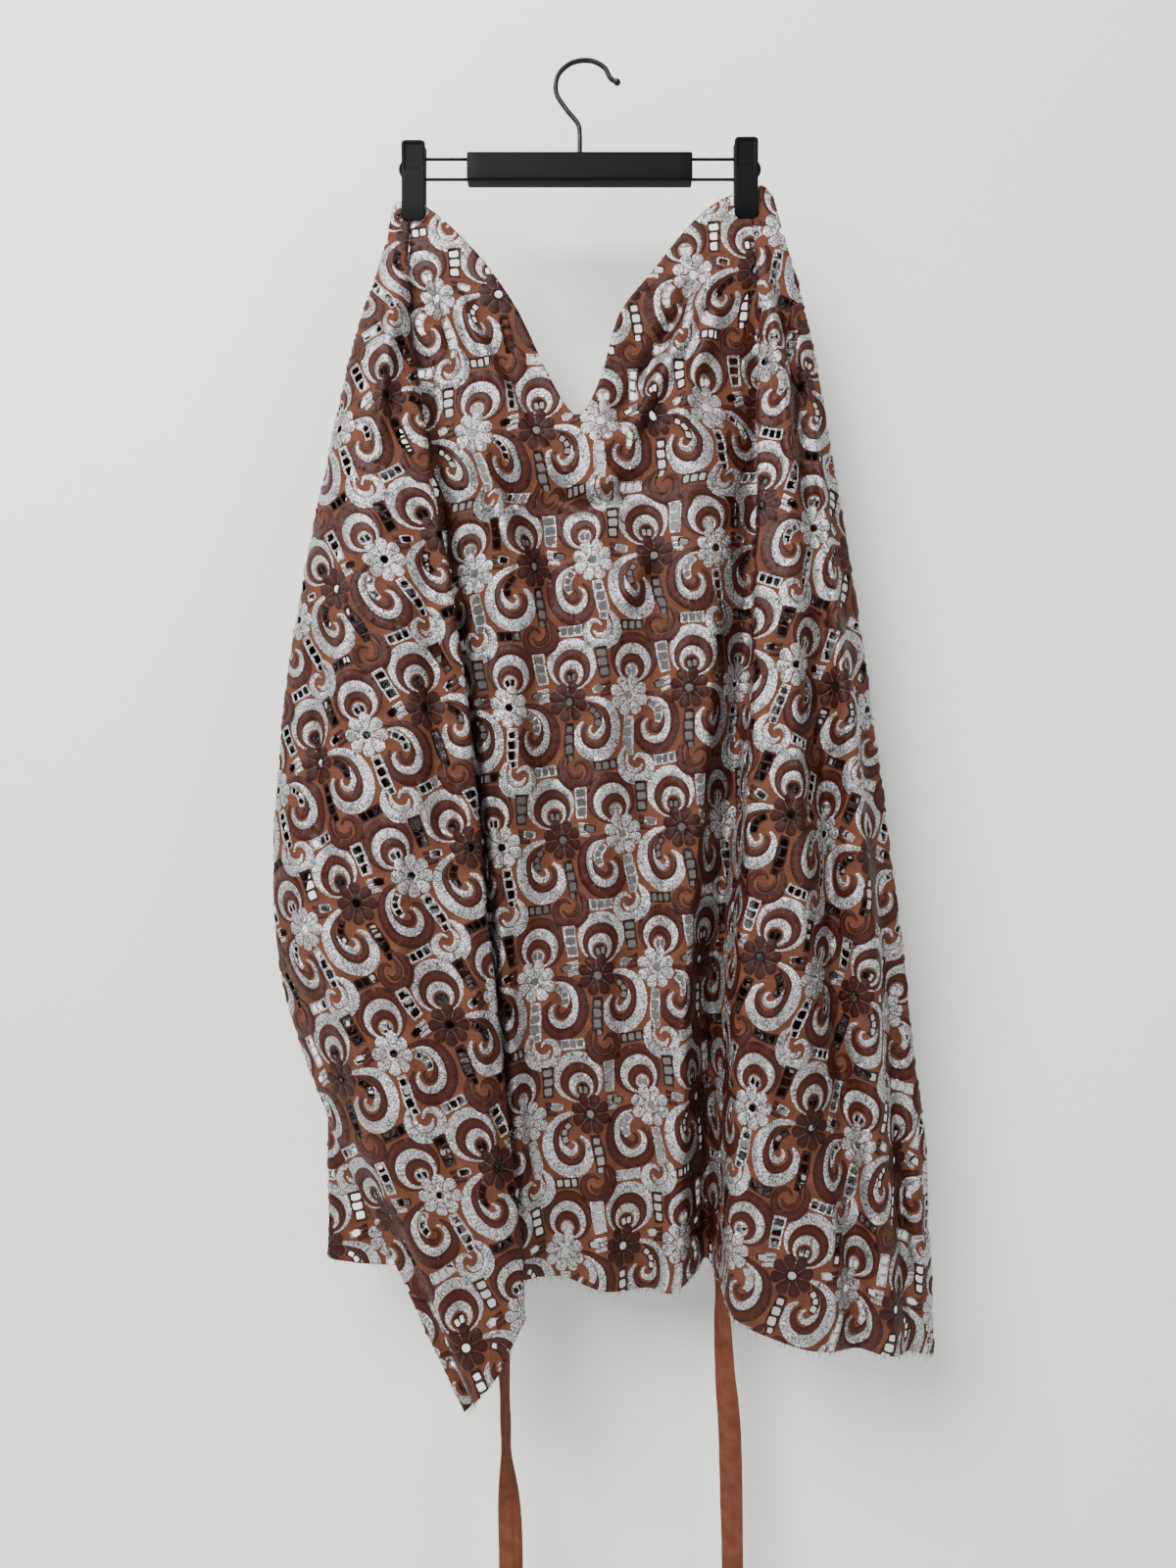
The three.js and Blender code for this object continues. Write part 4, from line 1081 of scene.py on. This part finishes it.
def silver_material():
    """Crackled silver foil thread: pale facets with thin dark lines between them."""
    made, nodes, links, surface = material("silver_thread")
    lines = thread_lines(nodes, 0.75, 0.13)
    tint = ramp(nodes, 0, linear(38, 33, 31), 0.2, linear(206, 206, 208))
    facet = put(nodes, "MapRange", {"From Min": 0.3, "From Max": 0.7, "To Min": 0.22, "To Max": 0.5})
    bump = put(nodes, "Bump", {"Strength": 0.9, "Distance": 0.0008})
    join(
        links, (lines, "Crackle", tint, "Fac"), (lines, "Streak", facet, "Value"),
        (tint, "Color", surface, "Base Color"), (facet, "Result", surface, "Roughness"),
        (lines, "Height", bump, "Height"), (bump, "Normal", surface, "Normal"),
    )
    surface.inputs["Metallic"].default_value = 0.72
    return made


def ground_material(name, dark, light, spacing):
    """Plain woven cotton: two crossing sets of fine threads, slightly uneven in colour."""
    made, nodes, links, surface = material(name)
    cloth = put(nodes, "UVMap", uv_map="cloth")
    weave = put(nodes, "Math", operation="MULTIPLY")
    for i, direction in enumerate("XY"):
        fine = {"Scale": CLOTH_MAP / spacing / 20, "Distortion": 0.6, "Detail": 1}
        wave = put(nodes, "TexWave", fine, bands_direction=direction)
        join(links, (cloth, "UV", wave, "Vector"), (wave, "Fac", weave, i))
    mottle = put(nodes, "TexNoise", {"Scale": 90, "Detail": 5})
    tint = ramp(nodes, 0.3, dark, 0.7, light)
    rough = put(nodes, "MapRange", {"To Min": 0.72, "To Max": 0.92})
    bump = put(nodes, "Bump", {"Strength": 0.5, "Distance": 0.0004})
    join(
        links, (cloth, "UV", mottle, "Vector"), (mottle, "Fac", tint, "Fac"),
        (tint, "Color", surface, "Base Color"), (mottle, "Fac", rough, "Value"),
        (rough, "Result", surface, "Roughness"), (weave, 0, bump, "Height"),
        (bump, "Normal", surface, "Normal"),
    )
    surface.inputs["Specular IOR Level"].default_value = 0.15
    return made


CUTWORK = [
    ground_material("tan_ground", linear(74, 42, 29), linear(98, 58, 42), 0.6),
    # For the brown and dark threads, the first colour is both streak and painted shade at band rims, the
    # second both streak and painted highlight along crests.
    thread_material("brown_thread", linear(9, 3, 2), linear(64, 24, 14), 0.6, 0.44),
    silver_material(),
    thread_material("dark_thread", linear(7, 2, 1), linear(52, 16, 10), 0.6, 0.5),
]

# Panels. Each is cut from the embroidered cloth, and hangs as the drape's tables say. The left front
# wraps over the middle, the right front is pleated beside it, and two backs of this cloth hang behind.
CLOTH_SHEET = 0.9
PANELS = {
    "left_front": {
        "cloth": flap_cloth, "from": "clean edge", "to": "tuck", "creases": FLAP_CREASES,
        "grain": {"fold": "ridge", "along": -94, "height": -619, "turned": 24},
        "flat": (0.30, 1.09), "area": 0.19,
    },
    "left_back": {
        "cloth": body_cloth, "from": "inner", "to": "left seam", "creases": BACK_LEFT_CREASES,
        "grain": {"fold": "left seam", "along": -30, "height": -560, "turned": 10},
        "flat": (0.14, 0.98), "area": 0.099,
    },
    "centre_front": {
        "cloth": body_cloth, "from": "left seam", "to": "right seam", "creases": CENTRE_CREASES,
        "grain": {"fold": "bottom of the V", "along": 48, "height": -580, "turned": 6},
        "flat": (0.37, 1.0), "area": 0.287,
    },
    "right_front": {
        "cloth": body_cloth, "from": "right seam", "to": "clean edge", "creases": RIGHT_CREASES,
        "grain": {"fold": "ridge", "along": 43, "height": -557, "turned": -18},
        "flat": (0.27, 1.06), "area": 0.174,
    },
    "right_back": {
        "cloth": behind_cloth, "from": "left edge", "to": "right edge", "creases": BACK_RIGHT_CREASES,
        "grain": {"fold": "left edge", "along": 40, "height": -500, "turned": 0},
        "flat": (0.19, 0.98), "area": 0.11,
    },
}


def face_normals(points, triangles):
    a, b, c = (points[triangles[:, k]] for k in range(3))
    normal = np.cross(b - a, c - a)
    total = np.zeros_like(points)
    for k in range(3):
        np.add.at(total, triangles[:, k], normal)
    return total / np.maximum(np.linalg.norm(total, axis=1), 1e-12)[:, None]


def hang_panel(name, panel):
    grid, grain = panel["cloth"], panel["grain"]
    first, last = fold_number(grid, panel["from"]), fold_number(grid, panel["to"])
    grid = panel["creased"] = creased(grid, first, last, panel["creases"])
    flat, lift, triangles, thread, lay = embroider(grid, first, last, grain)
    points = cloth_points(grid, flat[:, 0], flat[:, 1], grain["fold"])
    normals = face_normals(points, triangles)
    points += normals * (lift + slack(flat[:, 0], flat[:, 1]))[:, None]
    mesh = bpy.data.meshes.new(name)
    mesh.vertices.add(len(points))
    mesh.vertices.foreach_set("co", (points * MM).astype(np.float32).ravel())
    mesh.loops.add(len(triangles) * 3)
    mesh.loops.foreach_set("vertex_index", triangles.astype(np.int32).ravel())
    mesh.polygons.add(len(triangles))
    mesh.polygons.foreach_set("loop_start", np.arange(0, len(triangles) * 3, 3, dtype=np.int32))
    mesh.polygons.foreach_set("material_index", thread.astype(np.int32))
    mesh.polygons.foreach_set("use_smooth", np.ones(len(triangles), bool))
    for each in CUTWORK:
        mesh.materials.append(each)
    mesh.update()
    mesh.validate()
    cloth = mesh.uv_layers.new(name="cloth")
    on_map = np.stack([flat[:, 0] / CLOTH_MAP + 0.5, (flat[:, 1] + MAP_BOTTOM) / CLOTH_MAP], axis=1)
    cloth.data.foreach_set("uv", on_map[triangles.ravel()].astype(np.float32).ravel())
    laid = mesh.attributes.new("lay", "FLOAT_VECTOR", "FACE")
    laid.data.foreach_set("vector", np.column_stack([lay, np.zeros(len(lay))]).astype(np.float32).ravel())
    # Crest share of each point, 0 on plain ground and 1 on a band's crest; the brown and dark thread colours
    # paint shade and highlight from it.
    crest = mesh.attributes.new("crest", "FLOAT", "POINT")
    crest.data.foreach_set("value", np.clip(lift / CREST_LIFT, 0, 1).astype(np.float32))
    made = bpy.data.objects.new(f"{name}_cloth", mesh)
    scene.collection.objects.link(made)
    shell = made.modifiers.new("thickness", "SOLIDIFY")
    shell.thickness = CLOTH_SHEET * MM
    shell.offset = -1
    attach(made, "root")
    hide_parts(name)
    return made


hung = {name: hang_panel(name, panel) for name, panel in PANELS.items()}

# Thread ends. The waist and the hems are cut raw across the embroidery, so short ends of the ground
# and of the cut stitches stand out along them. The ends are soft, and no two are alike.
RAW_EDGES = [
    ("centre_front", "top", "left clip", "right clip", 230),
    ("centre_front", "hem", "left seam", "right seam", 200),
    ("right_front", "hem", "ridge", "clean edge", 200),
    ("left_front", "hem", "side", "tuck", 120),
    ("left_front", "top", "clean edge", "tuck", 22),
    ("right_front", "top", "ridge", "clean edge", 26),
    ("left_back", "hem", "inner", "left seam", 60),
    ("right_back", "hem", "left edge", "right edge", 60),
]
THREAD_RADIUS = 0.2


def thread_ends(panel_name, edge, start, end, count, chance):
    panel = PANELS[panel_name]
    grid, fold = panel["creased"], panel["grain"]["fold"]
    column = 1 if edge == "top" else 2
    outwards = 1 if edge == "top" else -1
    first, last = fold_number(grid, start), fold_number(grid, end)
    places = np.sort([chance.uniform(first, last) for _ in range(count)])
    heights = fold_value(grid, column, places) - outwards * 0.8
    lengths = length_at(grid, places, heights, fold)
    roots = cloth_points(grid, lengths, heights, fold)
    points, faces, threads = [], [], []
    for root in roots:
        reach = chance.uniform(1.5, 4.5) if chance.random() < 0.8 else chance.uniform(4, 9)
        way = np.array([chance.uniform(-0.7, 0.7), chance.uniform(-0.35, 0.25), outwards])
        way /= np.linalg.norm(way)
        curl = np.array([chance.uniform(-0.5, 0.5), chance.uniform(-0.3, 0.3), -0.25])
        at = len(points)
        for i in range(4):
            t = i / 3
            middle = root + way * reach * t + curl * reach * t * t
            size = THREAD_RADIUS * (1 - 0.5 * t)
            for k in range(3):
                angle = 2 * math.pi * k / 3
                points.append((middle + np.array([math.cos(angle) * size, math.sin(angle) * size, 0])) * MM)
        for i in range(3):
            for k in range(3):
                j = (k + 1) % 3
                faces.append((at + i * 3 + k, at + i * 3 + j, at + i * 3 + 3 + j, at + i * 3 + 3 + k))
        faces.append((at + 2, at + 1, at))
        faces.append((at + 9, at + 10, at + 11))
        threads += [chance.choice([GROUND, GROUND, BROWN, SILVER])] * 11
    made = mesh_piece(f"{panel_name}_{edge}_threads", points, faces, CUTWORK)
    made.data.polygons.foreach_set("material_index", threads)
    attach(made, "root")
    return made


chance = random.Random(11)
loose = {name: [] for name in PANELS}
for panel_name, edge, start, end, count in RAW_EDGES:
    loose[panel_name].append(thread_ends(panel_name, edge, start, end, count, chance))

# Ties. Two long strips of plain cinnamon cotton, folded lengthwise and stitched along both edges,
# are sewn to the inside of the waist and hang behind the skirt, creased from being tied.
TIE_WIDTH = 22
TIE_SHEET = 1.2
MIDDLE_CREASE = 1.5
SIDE_WAVE = 0.5
CRINKLE = 0.16
EDGE_STITCH = 0.8
TIES = {
    "left_tie": {
        "top": -232, "bottom": -1425, "x": -82, "behind": 26, "swing": 120,
        "heights": [-232, -1000, -1180, -1290, -1360, -1425],
        "angles": [0, 20, 60, 69, 8, 4], "shifts": [0, 0, 1, 3, 7, 8],
    },
    "right_tie": {
        "top": -152, "bottom": -1440, "x": 128, "behind": 56, "swing": 420,
        "heights": [-152, -900, -1110, -1220, -1290, -1440],
        "angles": [0, -50, -68, -40, -15, -36], "shifts": [0, -2, -2, 2, 7, 10],
    },
}


def back_of_centre(x, height):
    low = fold_number(body_cloth, "left seam") * PLACES_PER_FOLD
    high = fold_number(body_cloth, "right clip") * PLACES_PER_FOLD

    def pick(row):
        points = PANELS["centre_front"]["creased"]["points"]
        return np.array([
            np.interp(x[i], points[r, low:high, 0], points[r, low:high, 1]) for i, r in enumerate(row)
        ])

    return across_rows(body_cloth, height, pick) + 0.6


def tie_material():
    made = ground_material("tie_cotton", linear(82, 44, 30), linear(104, 59, 42), 0.7)
    nodes, links = made.node_tree.nodes, made.node_tree.links
    surface = nodes["Principled BSDF"]
    edge = put(nodes, "Attribute", attribute_name="edge")
    stitch = put(nodes, "Mix", data_type="RGBA")
    stitch.inputs[7].default_value = linear(74, 38, 26)
    links.new(surface.inputs["Base Color"].links[0].from_socket, stitch.inputs[6])
    join(links, (edge, "Fac", stitch, 0), (stitch, 2, surface, "Base Color"))
    return made


def hang_tie(name, form, cotton, chance):
    rows, columns = 260, 14
    height = np.linspace(form["top"], form["bottom"], rows + 1)
    angle = np.radians(through(form["heights"], form["angles"], height))
    shift = through(form["heights"], form["shifts"], height)
    t = np.clip((form["top"] - height) / form["swing"], 0, 1)
    swing = t * t * (3 - 2 * t)
    crinkle = [
        (chance.uniform(30, 110), chance.uniform(0, 6.3), chance.uniform(-0.12, 0.12)) for _ in range(9)
    ]
    points, edge = [], []
    for c in range(columns + 1):
        s = c / columns * 2 - 1
        across = s * TIE_WIDTH / 2
        crease = MIDDLE_CREASE * swing * (1 - abs(s))
        crease = crease + SIDE_WAVE * swing * math.cos(s * 9) * np.sin(height / 47)
        for long, start, lean in crinkle:
            crease = crease + CRINKLE * swing * np.sin((height + across * lean * 40) / long * 6.28 + start)
        x = form["x"] + shift + across * np.cos(angle) + crease * np.sin(angle)
        y = across * np.sin(angle) * swing - crease * np.cos(angle)
        there = np.full(rows + 1, form["x"] + across)
        sewn = back_of_centre(there, height) + 1.3
        y = np.maximum(sewn, sewn + (form["behind"] + y - sewn) * swing)
        points.append(np.stack([x, y, height], axis=1))
        stitched = (np.abs(abs(s) - EDGE_STITCH) < 0.05) * (np.sin(height * 2.2) > -0.2)
        edge.append(stitched * 1.0)
    points = np.stack(points, axis=1).reshape(-1, 3)
    faces, on_map = [], []
    width = columns + 1
    for r in range(rows):
        for c in range(columns):
            faces.append((r * width + c, (r + 1) * width + c, (r + 1) * width + c + 1, r * width + c + 1))
    made = mesh_piece(f"{name}_cloth", points * MM, faces, [cotton])
    mesh = made.data
    cloth = mesh.uv_layers.new(name="cloth")
    for loop in mesh.loops:
        r, c = divmod(loop.vertex_index, width)
        cloth.data[loop.index].uv = (c / columns * TIE_WIDTH / CLOTH_MAP + 0.1, 0.98 - r / rows * 0.95)
    sewing = mesh.attributes.new("edge", "FLOAT", "POINT")
    sewing.data.foreach_set("value", np.stack(edge, axis=1).ravel().astype(np.float32))
    shell = made.modifiers.new("thickness", "SOLIDIFY")
    shell.thickness = TIE_SHEET * MM
    shell.offset = 0
    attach(made, "root")
    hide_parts(name)


cotton = tie_material()
for name, form in TIES.items():
    hang_tie(name, form, cotton, chance)
